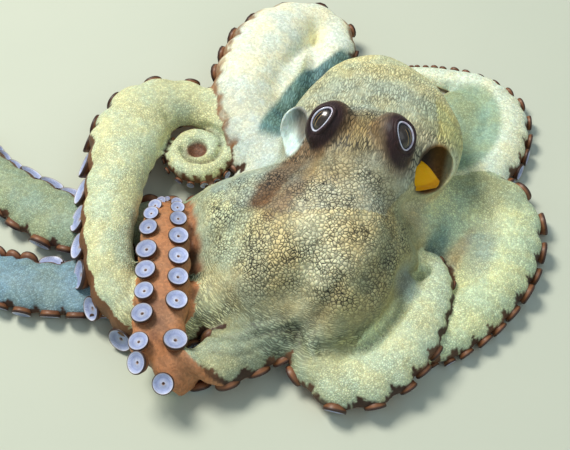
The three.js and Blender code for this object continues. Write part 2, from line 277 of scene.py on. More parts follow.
# %% Arm centre lines
CURVE_CUTS = 24
ARM_STEP = 1.5
BEND_SPAN = 8
BEND_ROOM = 0.8
ARM_FLATNESS = 0.56
TIP_FLATNESS = 0.85
EDGE_UP_BEFORE, EDGE_UP_AFTER = 0.05, 0.03
NO_ROLL = (2, 3)


def curve_through(stops):
    """Dense points of the centripetal curve, with the width between stops running straight."""
    ends = [2 * stops[0] - stops[1], 2 * stops[-1] - stops[-2]]
    knots = np.vstack([ends[0], stops, ends[1]])
    gap = np.sqrt(np.linalg.norm(np.diff(knots[:, :3], axis=0), axis=1))[:, None]
    slope = np.diff(knots[:, :3], axis=0) / gap
    across = (knots[2:, :3] - knots[:-2, :3]) / (gap[:-1] + gap[1:])
    tangent = slope[:-1] - across + slope[1:]
    share = np.linspace(0, 1, CURVE_CUTS, endpoint=False)[:, None]
    pieces = []
    for i in range(len(stops) - 1):
        a, b = knots[i + 1], knots[i + 2]
        ta, tb = tangent[i] * gap[i + 1], tangent[i + 1] * gap[i + 1]
        place = ((2 * share**3 - 3 * share**2 + 1) * a[:3] + (share**3 - 2 * share**2 + share) * ta
                 + (3 * share**2 - 2 * share**3) * b[:3] + (share**3 - share**2) * tb)
        pieces.append(np.hstack([place, mix(a[3], b[3], share)]))
    pieces.append(stops[-1:])
    return np.vstack(pieces)


def edge_pull(spec, share):
    """How far each side's skin edge draws back, where its suckers turn up past it."""
    pull = {-1: 0 * share, 1: 0 * share}
    up = spec.get("edge_up")
    if up:
        low, high = up["span"]
        begun = smoothstep(share, low - EDGE_UP_BEFORE, low + EDGE_UP_AFTER)
        left_over = smoothstep(share, high + EDGE_UP_BEFORE, high - EDGE_UP_AFTER)
        pull[up["row"]] = up["pull"] * (begun * left_over)
    return pull


def arm_of(spec):
    dense = curve_through(stops_of(spec))
    run = np.r_[0, np.cumsum(np.linalg.norm(np.diff(dense[:, :3], axis=0), axis=1))]
    length = run[-1]
    along = np.linspace(0, length, int(length / ARM_STEP) + 1)
    foot = np.stack([np.interp(along, run, dense[:, k]) for k in range(3)], 1)
    width = np.interp(along, run, dense[:, 3])
    ahead = np.gradient(foot, axis=0)
    ahead /= np.linalg.norm(ahead, axis=1)[:, None]
    bearing = np.unwrap(np.arctan2(ahead[:, 1], ahead[:, 0]))
    span = int(BEND_SPAN / ARM_STEP)
    index = np.arange(len(along))
    late, early = np.minimum(index + span, len(along) - 1), np.maximum(index - span, 0)
    turn = (bearing[late] - bearing[early]) / (along[late] - along[early])
    roll = np.pi * smoothstep(along / length, *spec.get("roll", NO_ROLL))
    turn = turn * np.abs(np.cos(roll))
    side = np.stack([-ahead[:, 1], ahead[:, 0], 0 * along], 1)
    side /= np.linalg.norm(side, axis=1)[:, None]
    depth = width * mix(TIP_FLATNESS, spec.get("flatness", ARM_FLATNESS), width / width.max())
    return dict(
        length=length, along=along, share=along / length, foot=foot, ahead=ahead, side=side,
        width=width, depth=depth, roll=roll, pull=edge_pull(spec, along / length),
        tucked=spec.get("tucked"),
        left=np.minimum(width / 2, BEND_ROOM / np.maximum(turn, 1e-6)),
        right=np.minimum(width / 2, BEND_ROOM / np.maximum(-turn, 1e-6)),
    )


arms = {name: arm_of(spec) for name, spec in ARMS.items()}
for name, arm in arms.items():
    print(name, "is", round(arm["length"]), "mm long")

# %% [markdown]
# ## Where the suckers sit
# An octopus has two rows of suckers that alternate, largest near the base. Their places are
# worked out before the skin is made, because the arm's edge swells at each sucker and
# draws in between two. A little seeded chance keeps the rows from looking machined.

# %% Sucker places
SUCKER_SHARE = 0.33
TURNED_SUCKER_SHARE = 0.385
SUCKER_GAP = 1.0
TURNED_GAP = 1.1
UPTURNED_GROWTH = 0.1
SUCKER_SMALLEST = 1.5
SUCKER_MOST = 12.0
TURNED_MOST = 14.0
SUCKERS_FROM = 0.07
chance = np.random.default_rng(8)


def sucker_rows(arm, share_of_width, gap, most):
    """Distances along the arm and diameters of the suckers of its two rows."""
    rows = {}
    for row, start in ((-1, 0.0), (1, 0.5)):
        places = []
        at = arm["length"] * SUCKERS_FROM
        size = np.interp(at, arm["along"], arm["width"]) * share_of_width
        at += size * start
        while at < arm["length"] - 1:
            size = np.interp(at, arm["along"], arm["width"]) * share_of_width
            size = min(size, most) * chance.uniform(0.9, 1.08)
            size *= 1 + UPTURNED_GROWTH * np.interp(at, arm["along"], arm["pull"][row])
            if size < SUCKER_SMALLEST:
                break
            places.append((at, size))
            at += size * gap * chance.uniform(0.96, 1.12)
        rows[row] = np.array(places)
    return rows


for name, arm in arms.items():
    turned = "roll" in ARMS[name]
    arm["rows"] = (sucker_rows(arm, TURNED_SUCKER_SHARE, TURNED_GAP, TURNED_MOST) if turned
                   else sucker_rows(arm, SUCKER_SHARE, SUCKER_GAP, SUCKER_MOST))
print("suckers:", sum(len(row) for arm in arms.values() for row in arm["rows"].values()))

# %% [markdown]
# ## The shape of one arm
# A section is a round back over a flat, narrower sucker side. Its two edges follow the
# suckers: the back skin reaches out over each sucker and draws in between them.

# %% Arm forms
BACK_POINTS = 26
UNDER_POINTS = 12
EDGE_HEIGHT = 0.26
FOOT_SHARE = 0.74
SUCKER_ROOM = 2.2
EDGE_INSET = 0.085
SCALLOP = 2.7
TUCKED_SCALLOP = 0.3
FULL_WIDTH = 34
SWELL_END = 0.3
TIP_RINGS = ((0.8, 0.18), (0.45, 0.33), (0, 0.38))

back_angle = np.linspace(0, np.pi, BACK_POINTS)
under = np.linspace(-1, 1, UNDER_POINTS + 2)[1:-1]
section_across = np.r_[np.cos(back_angle), under * 0.96]
section_height = np.r_[EDGE_HEIGHT + (1 - EDGE_HEIGHT) * np.sin(back_angle) ** 0.9,
                       EDGE_HEIGHT * smoothstep(np.abs(under), FOOT_SHARE, 1.05)]


def edge_of(arm, row):
    """How far the skin reaches to one side at each step: out at a sucker, in between two."""
    reach = arm["left"] if row > 0 else arm["right"]
    at = arm["rows"][row][:, 0]
    phase = np.interp(arm["along"], at, np.arange(len(at)))
    inside = (arm["along"] >= at[0]) & (arm["along"] <= at[-1])
    wave = np.where(inside, np.abs(np.cos(np.pi * phase)) ** 0.7 - 0.65, 0)
    scallop = SCALLOP * wave * arm["width"] / FULL_WIDTH * (TUCKED_SCALLOP if row == arm["tucked"] else 1)
    return reach * (1 - EDGE_INSET) + scallop - arm["pull"][row] - 0.3


def arm_point(arm, step, across, height):
    """A point of the section at a step, rolled about the section's middle."""
    up = height - arm["depth"][step] / 2
    turn, tilt = np.cos(arm["roll"][step]), np.sin(arm["roll"][step])
    sideways, upward = across * turn - up * tilt, across * tilt + up * turn
    point = arm["foot"][step] + arm["side"][step] * sideways[..., None]
    point[..., 2] += arm["depth"][step] / 2 + upward
    return point


def arm_form(name, arm, until=1.0, swell=0.0):
    """The arm as a closed form. A swelling makes its base deeper, so that it flows into the web."""
    count = int((len(arm["along"]) - 1) * until) + 1
    left, right = edge_of(arm, 1), edge_of(arm, -1)
    rings = []
    for step in range(count):
        room = SUCKER_ROOM * min(1, arm["width"][step] / 30)
        extra = swell * (1 - smoothstep(arm["share"][step], 0.0, SWELL_END))
        reach = np.where(section_across > 0, left[step], right[step])
        height = room + (arm["depth"][step] - room + extra) * section_height
        rings.append(arm_point(arm, step, section_across * reach, height))
    rings = np.array(rings)
    tip = rings[-1].mean(0)
    tail = [tip + (rings[-1] - tip) * shrink + arm["ahead"][count - 1] * arm["width"][count - 1] * push
            for shrink, push in TIP_RINGS]
    start = rings[0].mean(0)
    rings = np.concatenate([[start + 0 * rings[0]], rings, tail])
    return woven(name, np.concatenate([rings, rings[:, :1]], 1))


print("a section has", len(section_across), "points")

# %% [markdown]
# ## The crown of the web
# The web is a dome that reaches furthest towards its leading arms and is notched between
# the two front arms. No primitive has that outline, so it is woven: each ring is the hem's
# outline, drawn in and raised step by step to the top.

# %% Crown of the web
CROWN_HEIGHT = 59
CROWN_REACH = 62
CROWN_LEAN = 21
CROWN_LEAN_BEARING = math.radians(-148)
NOTCH_BEARING = math.radians(-104)
NOTCH_SPREAD = math.radians(13)
NOTCH_DEPTH = 17
SKIRT_BEARING = math.radians(176)
SKIRT_SPREAD = math.radians(24)
SKIRT_REACH = 15
CROWN_SECTORS = 180
CROWN_RINGS = 48


def turn_between(bearing, other):
    return (bearing - other + np.pi) % (2 * np.pi) - np.pi


NOTCH_SINK = 0.16


def crown_form():
    bearing = np.linspace(0, 2 * np.pi, CROWN_SECTORS + 1)
    notch = np.exp(-((turn_between(bearing, NOTCH_BEARING) / NOTCH_SPREAD) ** 2))
    skirt = np.exp(-((turn_between(bearing, SKIRT_BEARING) / SKIRT_SPREAD) ** 2))
    reach = CROWN_REACH + CROWN_LEAN * np.cos(bearing - CROWN_LEAN_BEARING)
    reach += SKIRT_REACH * skirt - NOTCH_DEPTH * notch
    rings = []
    for share in np.linspace(0, 1, CROWN_RINGS):
        height = CROWN_HEIGHT * (1 - share**2.15) ** 0.92 + 2.5
        height = height * (1 - NOTCH_SINK * notch * smoothstep(share, 0.35, 0.9))
        radius = reach * share
        rings.append(np.stack([radius * np.cos(bearing), radius * np.sin(bearing), height], 1))
    base = rings[0] * 0 + [0, 0, SUCKER_ROOM]
    hem = rings[-1] * [0.97, 0.97, 0] + [0, 0, SUCKER_ROOM]
    return woven("crown", np.array([base, hem, *rings[::-1]]))


print("the crown reaches", CROWN_REACH + CROWN_LEAN, "mm at most")

# %% [markdown]
# ## Head, mantle and low webs
# The head is an egg, and the mantle a blunt bag that lies level behind it, turned a little
# to the animal's right. Three low eggs close the hollows inside the curled arms, as sheets
# of web do. All are joined with the crown and the arms' bases, and a voxel remesh with
# smoothing turns the sharp valleys between them into the soft folds of flesh.

# %% Head, mantle and low webs
HEAD_RADII = (28.5, 29.5, 26.5)
HEAD_CENTRE = (0, 32, 47)
MANTLE_SIZE = (92.5, 91.5, 53.5)
MANTLE_CENTRE = (-1.5, 67, 38)
MANTLE_YAW = math.radians(11)
MANTLE_BLUNTNESS = 0.51
MANTLE_FULLNESS = 0.63
MANTLE_RINGS = 48
REAR_WEB_RADII, REAR_WEB_CENTRE = (24, 38, 12), (41, 98, 3)
BODY_EGGS = [
    ("web_left", (19, 35, 13), (61, 18, 2)),
    ("web_rear", REAR_WEB_RADII, REAR_WEB_CENTRE),
    ("web_inner", (12, 46, 24), (-53, 96, 3)),
]


def egg(name, radii, centre, turn=np.eye(3)):
    piece = add_primitive(name, bpy.ops.mesh.primitive_uv_sphere_add, segments=48, ring_count=28, radius=1)
    set_points(piece, points_of(piece) * MM * radii @ turn + centre)
    return piece


def mantle_form():
    turn = np.linspace(0, 2 * np.pi, 65)
    rings = []
    for share in np.linspace(0, 1, MANTLE_RINGS):
        girth = max(0, math.sin(math.pi * share**MANTLE_FULLNESS)) ** MANTLE_BLUNTNESS / 2
        girth = girth if 0 < share < 1 else 0
        rings.append(np.stack([girth * np.cos(turn), share - 0.5 + 0 * turn, girth * np.sin(turn)], 1))
    points = np.array(rings) * MANTLE_SIZE
    lean = np.array(Matrix.Rotation(MANTLE_YAW, 3, "Z"))
    return woven("mantle", points @ lean.T + MANTLE_CENTRE)


CORE_SHARES = {"arm_right_1": 0.3, "arm_left_1": 0.26, "arm_right_2": 0.4, "arm_left_2": 0.4,
               "arm_left_4": 0.45, "arm_left_3": 0.3, "arm_right_4": 0.35, "arm_right_3": 0.35}
CORE_VOXEL = 2.0
CORE_SMOOTHING = 22
CORE_SWELL = 7
FLOOR_GAP = 0.5
body_forms = [crown_form(), egg("head", HEAD_RADII, HEAD_CENTRE), mantle_form()]
body_forms += [egg(*spec) for spec in BODY_EGGS]
body_forms += [arm_form(name + "_core", arm, CORE_SHARES[name], CORE_SWELL) for name, arm in arms.items()]
body = join(body_forms)
set_points(body, kept_above(points_of(body), FLOOR_GAP))
finish_modifier(body, "REMESH", mode="VOXEL", voxel_size=CORE_VOXEL * MM)
finish_modifier(body, "SMOOTH", factor=0.5, iterations=CORE_SMOOTHING)
print("blended body:", len(body.data.vertices), "vertices")

# %% [markdown]
# ## Eyes: where they look
# Each eyeball bulges from a mound of skin. The lids part in an oval slit with a long axis.
# All that follows is placed by three directions for each eye: its gaze, the slit's long
# axis, and the short one between them.

# %% Eye directions
EYE_RADIUS = 9.5
EYES = {
    "eye_right": dict(centre=(-17.5, 33.5, 70), gaze=(-0.39, -0.52, 0.76), long=(0.47, 0.55, 0.68),
                      slit=(6.9, 3.9)),
    "eye_left": dict(centre=(14.5, 33.5, 70), gaze=(0.66, -0.36, 0.66), long=(-0.36, 0.52, 0.775),
                     slit=(6.9, 4.5)),
}
for eye in EYES.values():
    gaze = Vector(eye["gaze"]).normalized()
    long_axis = Vector(eye["long"])
    long_axis = (long_axis - gaze * long_axis.dot(gaze)).normalized()
    eye["axes"] = np.array([long_axis, gaze.cross(long_axis), gaze])
    eye["centre"] = np.array(eye["centre"], float)
    print("gaze", [round(x, 2) for x in gaze])

# %% [markdown]
# ## Mounds round the eyes
# The mounds are joined after the first smoothing, which would have flattened them, and are
# then softened only lightly. A long egg along the slit gives the tear shape of each mound.
# Two more eggs make the lips of flesh that stand beside the head over the mantle's openings.

# %% Eye mounds
MOUND_RADII = (13.8, 10.8, 11.6)
COLLAR_LOBES = [((-35.5, 46.5, 46), (10.5, 13, 11)), ((33, 48, 38.5), (12.5, 12, 12.5))]
MOUND_SHIFT = (-1.5, 0, -1.6)
MOUND_VOXEL = 1.6
MOUND_SMOOTHING = 7
mounds = [egg(name + "_mound", MOUND_RADII, eye["centre"] + MOUND_SHIFT @ eye["axes"], eye["axes"])
          for name, eye in EYES.items()]
mounds += [egg("collar_lobe", radii, centre) for centre, radii in COLLAR_LOBES]
body = join([body, *mounds])
finish_modifier(body, "REMESH", mode="VOXEL", voxel_size=MOUND_VOXEL * MM)
finish_modifier(body, "SMOOTH", factor=0.5, iterations=MOUND_SMOOTHING)
print("body with", len(mounds), "mounds:", len(body.data.vertices), "vertices")

# %% [markdown]
# ## One skin
# The whole arms are joined to the blended body, and a fine voxel remesh makes one closed
# skin of everything, so no seam shows where flesh meets flesh. A small egg fills the heart
# of the coil. Each opening of the mantle is pressed in like a thumb in clay: points inside
# an egg move inwards to its far wall. A second remesh evens out the stretched faces there.

# %% Join, press and remesh the skin
SKIN_VOXEL = 1.15
OPENINGS = [
    dict(centre=(-38.5, 38.5, 52), radii=(7.8, 12.5, 10), inward=(0.2, 0.75, -0.62)),
    dict(centre=(33.5, 40, 44), radii=(11.5, 12.5, 11.5), inward=(-0.2, 0.8, -0.55)),
]
SKIN_TRIANGLES = 188000
COIL_HEART = ("coil_heart", (7.5, 7.5, 8), (-90.5, 42, 8))


def press(points, opening):
    """Moves points inside the egg along the inward direction to the egg's far wall."""
    radii, inward = np.array(opening["radii"], float), np.array(opening["inward"], float)
    place, step = (points - opening["centre"]) / radii, inward / radii
    a, b, c = step @ step, place @ step, (place**2).sum(1) - 1
    inside = c < 0
    travel = np.where(inside, (-b + np.sqrt(np.maximum(b * b - a * c, 0))) / a, 0)
    return points + travel[:, None] * inward


skin = join([body, egg(*COIL_HEART)] + [arm_form(name, arm) for name, arm in arms.items()])
skin.name = "skin"
skin.data.name = "skin"
finish_modifier(skin, "REMESH", mode="VOXEL", voxel_size=SKIN_VOXEL * MM)
for opening in OPENINGS:
    set_points(skin, press(points_of(skin), opening))
finish_modifier(skin, "REMESH", mode="VOXEL", voxel_size=SKIN_VOXEL * MM)
finish_modifier(skin, "SMOOTH", factor=0.5, iterations=3)
print("skin:", len(skin.data.vertices), "vertices")
triangles = 2 * len(skin.data.polygons)
if triangles > SKIN_TRIANGLES:
    finish_modifier(skin, "DECIMATE", ratio=SKIN_TRIANGLES / triangles)
print("skin thinned to", len(skin.data.polygons), "faces")

# %% [markdown]
# ## The eyelids
# Skin inside the slit is pushed back under the eyeball, and the skin round it is kept just
# outside. A rolled lid, an oval tube that lies on the eyeball, covers that edge, and is
# joined to the skin.

# %% Open and roll the lids
LID_SPREAD = 0.95
LID_TUBE = 1.0
LID_RISE = 0.7
SLIT_EDGE, SLIT_BORDER = 1.08, 1.35
UNDER_BALL, OVER_BALL, BORDER_TOP = -1.2, 0.6, 1.1
NEAR_EYE = 9


def slit_reach(eye, places):
    """How far out from the slit's middle each place lies, seen along the gaze: 1 is its edge."""
    local = (places - eye["centre"]) @ eye["axes"].T
    reach = np.sqrt((local[:, 0] / eye["slit"][0]) ** 2 + (local[:, 1] / eye["slit"][1]) ** 2)
    return np.where(local[:, 2] > 0, reach, 99)


def oval_tube(name, eye, spread, rise, tube):
    """A tube along the slit's edge, spread out by so many millimetres and resting on the eyeball."""
    turn = np.linspace(0, 2 * np.pi, 73)
    flat = np.stack([np.cos(turn), np.sin(turn)], 1) * (np.array(eye["slit"]) + spread)
    rest = EYE_RADIUS + rise
    line = np.column_stack([flat, np.sqrt(np.maximum(rest**2 - (flat**2).sum(1), 0.2))])
    along = np.gradient(line, axis=0)
    along[0] = along[-1] = line[1] - line[-2]
    along /= np.linalg.norm(along, axis=1)[:, None]
    out = line / np.linalg.norm(line, axis=1)[:, None]
    beside = np.cross(along, out)
    around = np.linspace(0, 2 * np.pi, 15)
    rings = line[:, None] + tube * (np.cos(around)[None, :, None] * out[:, None]
                                    + np.sin(around)[None, :, None] * beside[:, None])
    return woven(name, rings @ eye["axes"] + eye["centre"])


points = points_of(skin)
for eye in EYES.values():
    offset = points - eye["centre"]
    distance = np.linalg.norm(offset, axis=1)
    near = distance < EYE_RADIUS + NEAR_EYE
    reach = slit_reach(eye, points)
    over = np.maximum(distance, EYE_RADIUS + OVER_BALL)
    target = np.where(reach < SLIT_EDGE, EYE_RADIUS + UNDER_BALL, over)
    border = (reach >= SLIT_EDGE) & (reach < SLIT_BORDER)
    target = np.where(border, np.minimum(target, EYE_RADIUS + BORDER_TOP), target)
    points = np.where(near[:, None], eye["centre"] + offset * (target / distance)[:, None], points)
set_points(skin, points)
lids = [oval_tube(name + "_lid", eye, LID_SPREAD, LID_RISE, LID_TUBE) for name, eye in EYES.items()]
skin = join([skin, *lids])
print("lids open and rolled")

# %% [markdown]
# ## Folds
# Flesh folds where it is pressed together: in the furrow between the two front arms, along
# the arm that lies against the web, round the turns of the coil, and in thin lines beside
# the hem. Each fold is a short smooth line, and points near it sink along their normal, most
# at the line itself. Smooth noise adds the soft lumps of a body with no bones.

# %% Folds and lumps
FOLDS = [
    dict(line=[(7, -40), (2, -47), (-3, -52), (-9, -57)], width=4.5, depth=3.2, floor=12),
    dict(line=[(42, -4), (36, -11), (34, -20), (35, -28), (32, -40), (25, -51), (16, -58), (5, -63)],
         width=3.2, depth=4.2, floor=12),
    dict(line=[(-1, -68), (-6, -62), (-9, -57)], width=2.5, depth=2.5, floor=8),
    dict(line=[(-9, -54), (-20, -60), (-33, -67), (-46, -67), (-56, -62)], width=1.5, depth=1.3, floor=9),
    dict(line=[(-14, -50), (-27, -57), (-40, -61), (-52, -57)], width=1.3, depth=0.6, floor=12),
    dict(line=[(-20, -66), (-31, -75), (-43, -78)], width=1.3, depth=0.7, floor=6),
    dict(line=[(-27, 12), (-36, 1), (-46, -10), (-60, -22)], width=5, depth=1.2, floor=25),
    dict(line=[(-106.5, 35), (-104.4, 49), (-93, 55.3), (-81.8, 51.3), (-78.3, 41), (-83.6, 32.7),
               (-92, 31.8), (-97.4, 37)], width=1.6, depth=2.8, floor=11, shade=0.6),
    dict(line=[(20, 6), (24, -8), (24, -22), (19, -34)], width=5, depth=1.4, floor=30),
]
FOLD_FADE = 4
LUMPS = [(0.055, 0.9), (0.13, 0.45), (0.32, 0.14)]


def line_gap(points, line):
    """How far points lie from a smooth line over the floor, seen from above, in millimetres."""
    stops = np.array([(x, y, 0, 1) for x, y in line], float)
    dense = curve_through(stops)[::3, :2]
    gap = np.full(len(points), 1e9)
    for place in dense:
        gap = np.minimum(gap, ((points[:, :2] - place) ** 2).sum(1))
    return np.sqrt(gap)


def lump(points, pitch):
    """Smooth noise from minus one to one, from three crossed waves with drifting phases."""
    x, y, z = (points * pitch).T
    first = np.sin(1.7 * x + 1.3 * np.sin(1.1 * y + 0.6 * z))
    second = np.sin(1.5 * y + 1.2 * np.sin(1.3 * z + 0.7 * x))
    third = np.sin(1.9 * z + 1.4 * np.sin(0.9 * x + 0.8 * y))
    return (first + second + third) / 3


def fold_mask(points, fold, width):
    """1 on the fold's line, fading to its sides and down to its floor."""
    high = smoothstep(points[:, 2], fold["floor"] - FOLD_FADE, fold["floor"])
    return np.exp(-((line_gap(points, fold["line"]) / width) ** 2)) * high


points = points_of(skin)
normals = rows_of(skin, "normal")
eye_gap = np.min([slit_reach(eye, points) * 6 + np.maximum(
    np.linalg.norm(points - eye["centre"], axis=1) - 14, 0) for eye in EYES.values()], 0)
quiet = smoothstep(eye_gap, 10, 20) * smoothstep(points[:, 2], 3, 9)
sink = np.zeros(len(points))
for fold in FOLDS:
    sink += fold["depth"] * fold_mask(points, fold, fold["width"])
for pitch, height in LUMPS:
    sink += height * lump(points, pitch) * quiet
set_points(skin, points - normals * sink[:, None])
print("deepest fold", round(float(sink.max()), 1), "mm")

# %% [markdown]
# ## Which arm owns each point of the skin
# Markings follow the arms, so every point of the skin needs to know its nearest arm, how
# far along it lies, how far to the side and how high. The distances are measured in shares
# of the arm's own half width and depth.

# %% Arm coordinates
POINTS_AT_ONCE = 20000


def section_place(arm, points, step):
    """Across and height, in millimetres, of points seen from the sections at those steps."""
    offset = points - arm["foot"][step]
    sideways = (offset * arm["side"][step]).sum(1)
    upward = offset[:, 2] - arm["depth"][step] / 2
    turn, tilt = np.cos(arm["roll"][step]), np.sin(arm["roll"][step])
    across = sideways * turn + upward * tilt
    height = -sideways * tilt + upward * turn + arm["depth"][step] / 2
    return across, height


def nearest_steps(arm, points):
    """For each point the step whose section's middle is nearest, in half widths."""
    middle = arm["foot"] + [0, 0, 1] * (arm["depth"][:, None] / 2)
    best = np.zeros(len(points), int)
    for first in range(0, len(points), POINTS_AT_ONCE):
        chunk = points[first:first + POINTS_AT_ONCE]
        gap = ((chunk[:, None] - middle[None]) ** 2).sum(2) / (arm["width"][None] / 2 + 2) ** 2
        best[first:first + POINTS_AT_ONCE] = gap.argmin(1)
    return best


def under_way(arm, step):
    """The way the sucker side faces at those steps."""
    turn, tilt = np.cos(arm["roll"][step]), np.sin(arm["roll"][step])
    return arm["side"][step] * tilt[:, None] - np.outer(turn, [0, 0, 1])


def measured(arm, points, normals):
    """How near the points are to an arm, and what each measure is there."""
    step = nearest_steps(arm, points)
    across, height = section_place(arm, points, step)
    row_side = {row: edge_of(arm, row)[step] for row in (-1, 1)}
    half = np.where(across > 0, row_side[1], row_side[-1])
    depth = arm["depth"][step]
    ahead_gap = ((points - arm["foot"][step]) * arm["ahead"][step]).sum(1)
    near = np.sqrt((across / (half + 1)) ** 2 + ((height - depth / 2) / (depth / 2 + 1)) ** 2
                   + (ahead_gap / (half + 2)) ** 2)
    wave = {}
    for row in (-1, 1):
        at = arm["rows"][row][:, 0]
        wave[row] = np.abs(np.cos(np.pi * np.interp(arm["along"][step], at, np.arange(len(at)))))
    return near, dict(
        share=arm["share"][step], across_share=across / half, height_share=height / depth,
        edge_gap=np.hypot(half - np.abs(across), height - EDGE_HEIGHT * depth),
        rim_gap=half - np.abs(across), downward=(normals * under_way(arm, step)).sum(1),
        drawn_back=np.where(across > 0, arm["pull"][1][step], arm["pull"][-1][step]),
        tucked=np.sign(across) == arm["tucked"], sucker_wave=np.where(across > 0, wave[1], wave[-1]),
    )


# %% [markdown]
# ## Measuring the skin
# Each arm measures every point, and a point keeps the measures of its nearest arm. `share`
# runs along the arm from 0 to 1, `height_share` up its section, and `edge_gap` and `rim_gap`
# are millimetres from its edge. `sucker_wave` is 1 at a sucker and 0 between two.

# %% Measure the skin
NOWHERE = 9.0
points = points_of(skin)
normals = rows_of(skin, "normal")
count = len(points)
owner, nearness = np.full(count, -1), np.full(count, NOWHERE)
measures = {}
for number, arm in enumerate(arms.values()):
    near, found = measured(arm, points, normals)
    mine = near < nearness
    owner[mine], nearness[mine] = number, near[mine]
    for key, values in found.items():
        measures.setdefault(key, np.zeros(count))[mine] = values[mine]
arm_names = list(arms)
share, across_share, height_share = (measures[key] for key in ("share", "across_share", "height_share"))
edge_gap, rim_gap, downward = (measures[key] for key in ("edge_gap", "rim_gap", "downward"))
drawn_back, tucked, sucker_wave = (measures[key] for key in ("drawn_back", "tucked", "sucker_wave"))
on_arm = smoothstep(nearness, 1.5, 1.15)
print("points on arms:", int((on_arm > 0.5).sum()), "of", count)

# %% [markdown]
# ## Skin colours
# An octopus paints itself with thousands of colour cells. Its web is olive and cream, its
# arms are paler, the hem of each arm is dark brown, the sucker side is orange-brown, and a
# black tear lies round each eye. All of it goes into one colour attribute: a ground colour
# is painted over, coat by coat, through soft masks, as a model painter does with an
# airbrush. The material later adds the fine pattern.

# %% Palette
BLACK = (0, 0, 0)
WEB = (0.76, 0.66, 0.37)
WEB_SIDE = (0.76, 0.79, 0.50)
WEB_LOW = (0.37, 0.41, 0.26)
WEB_SHADE = (0.36, 0.36, 0.18)
RIDGE = (0.98, 0.88, 0.54)
MANTLE = (0.94, 0.90, 0.52)
# Olive for clouds on the mantle, and also painted shade on its left side.
MANTLE_OLIVE_AND_SHADE = (0.80, 0.74, 0.31)
BROWN_PATCH = (0.27, 0.145, 0.07)
TAN = (0.46, 0.33, 0.13)
EYE_DARK = (0.045, 0.021, 0.024)
HEM_DARK = (0.055, 0.022, 0.012)
HEM_BROWN = (0.16, 0.075, 0.035)
HEM_RUST = (0.30, 0.13, 0.05)
ORAL = (0.50, 0.22, 0.10)
ORAL_DEEP = (0.24, 0.10, 0.05)
# The next three colours are painted shade.
SHADE_TEAL = (0.16, 0.34, 0.34)
HOLLOW_SHADE = (0.36, 0.50, 0.34)
SHADE_BLUE_GREY = (0.36, 0.47, 0.50)
POCKET_PALE = (0.80, 1.0, 1.0)
# The next three colours are painted shade inside the mantle's openings.
POCKET_SHADE = (0.17, 0.13, 0.10)
CAVITY_SHADE_BLACK = (0.03, 0.018, 0.01)
CAVITY_SHADE_BROWN = (0.24, 0.12, 0.03)
RIM_CREAM = (0.80, 0.84, 0.55)
# The tones of arm_right_4 and arm_right_3 are darker and bluer: painted shade over those arms.
ARM_TONES = {
    "arm_right_1": (0.70, 0.72, 0.46), "arm_left_1": (0.82, 0.88, 0.57),
    "arm_right_2": (0.84, 0.88, 0.56), "arm_left_2": (0.84, 0.92, 0.56),
    "arm_left_4": (1.0, 1.0, 0.78), "arm_left_3": (0.95, 1.0, 0.76),
    "arm_right_4": (0.40, 0.49, 0.33), "arm_right_3": (0.28, 0.42, 0.47),
}
print("arm colours:", len(ARM_TONES))

# %% [markdown]
# ## Masks
# A mask is a number from 0 to 1 for each point of the skin. It could be painted by hand, but
# a formula can be changed and run again. `blob` is an egg with a soft edge, `streak` follows
# a line over the floor, `owned` picks whole arms, and `painted` lays coats through masks.


# %% Masks and coats
def blob(points, centre, radii):
    """1 in the middle of an egg, fading to 0 at its edge."""
    gap = np.sqrt((((points - centre) / np.array(radii, float)) ** 2).sum(1))
    return smoothstep(gap, 1.0, 0.35)


def streak(points, line, width, floor):
    """A soft mask along a line, for the points above a height."""
    return smoothstep(line_gap(points, line), width, width * 0.3) * (points[:, 2] > floor)


def side_of(points, line):
    """How far points lie to the right of a line that runs away from the front."""
    edge_x, edge_y = np.array(line, float).T
    return points[:, 0] - np.interp(points[:, 1], edge_y, edge_x)


def inside_opening(points, opening):
    squared = (((points - opening["centre"]) / opening["radii"]) ** 2).sum(1)
    return smoothstep(squared, 1.5, 1.1)


def owned(*names):
    return np.isin(owner, [arm_names.index(name) for name in names]).astype(float)


def painted(tone, *coats):
    """The colours after some coats, each a colour and a mask."""
    for colour, mask in coats:
        tone = tone + (np.array(colour) - tone) * mask[:, None]
    return tone


x, y, z = points.T
soft = lump(points, 0.09)
fine = lump(points, 0.55)
print("points to colour:", count)

# %% [markdown]
# ## Web and mantle
# The web darkens towards its hem, with a cream crest over its top and a shaded dip on its
# left. The mantle is straw-coloured, with olive clouds, and a darker olive on its left side
# that is painted shade.

# %% Web and mantle colours
RIDGE_LINE = [(-1, 18), (-9, 3), (-8, -16), (-3, -30)]
DIP_LINE = [(30, 6), (30, -12), (27, -30), (16, -46)]
mantle_mask = smoothstep(y, 46, 54) * smoothstep(z, 20, 30)
# Olive clouds from noise, plus an egg of painted shade on the mantle's left side.
olive_and_shade = np.clip(blob(points, (34, 62, 52), (26, 22, 20)) + 0.5 * smoothstep(soft, 0.1, 0.7), 0, 1)
tone = painted(
    np.tile(np.array(WEB), (count, 1)),
    (WEB_SIDE, smoothstep(x, -30, -55) * smoothstep(y, -60, -30)),
    (WEB_LOW, smoothstep(y, -38, -62)),
    (RIDGE, 0.95 * streak(points, RIDGE_LINE, 16, 40)),
    (WEB_SHADE, 0.7 * streak(points, DIP_LINE, 16, 12)),
    (MANTLE, mantle_mask),
    (MANTLE_OLIVE_AND_SHADE, mantle_mask * olive_and_shade),
)
print("share of the skin on the mantle", round(float(mantle_mask.mean()), 2))
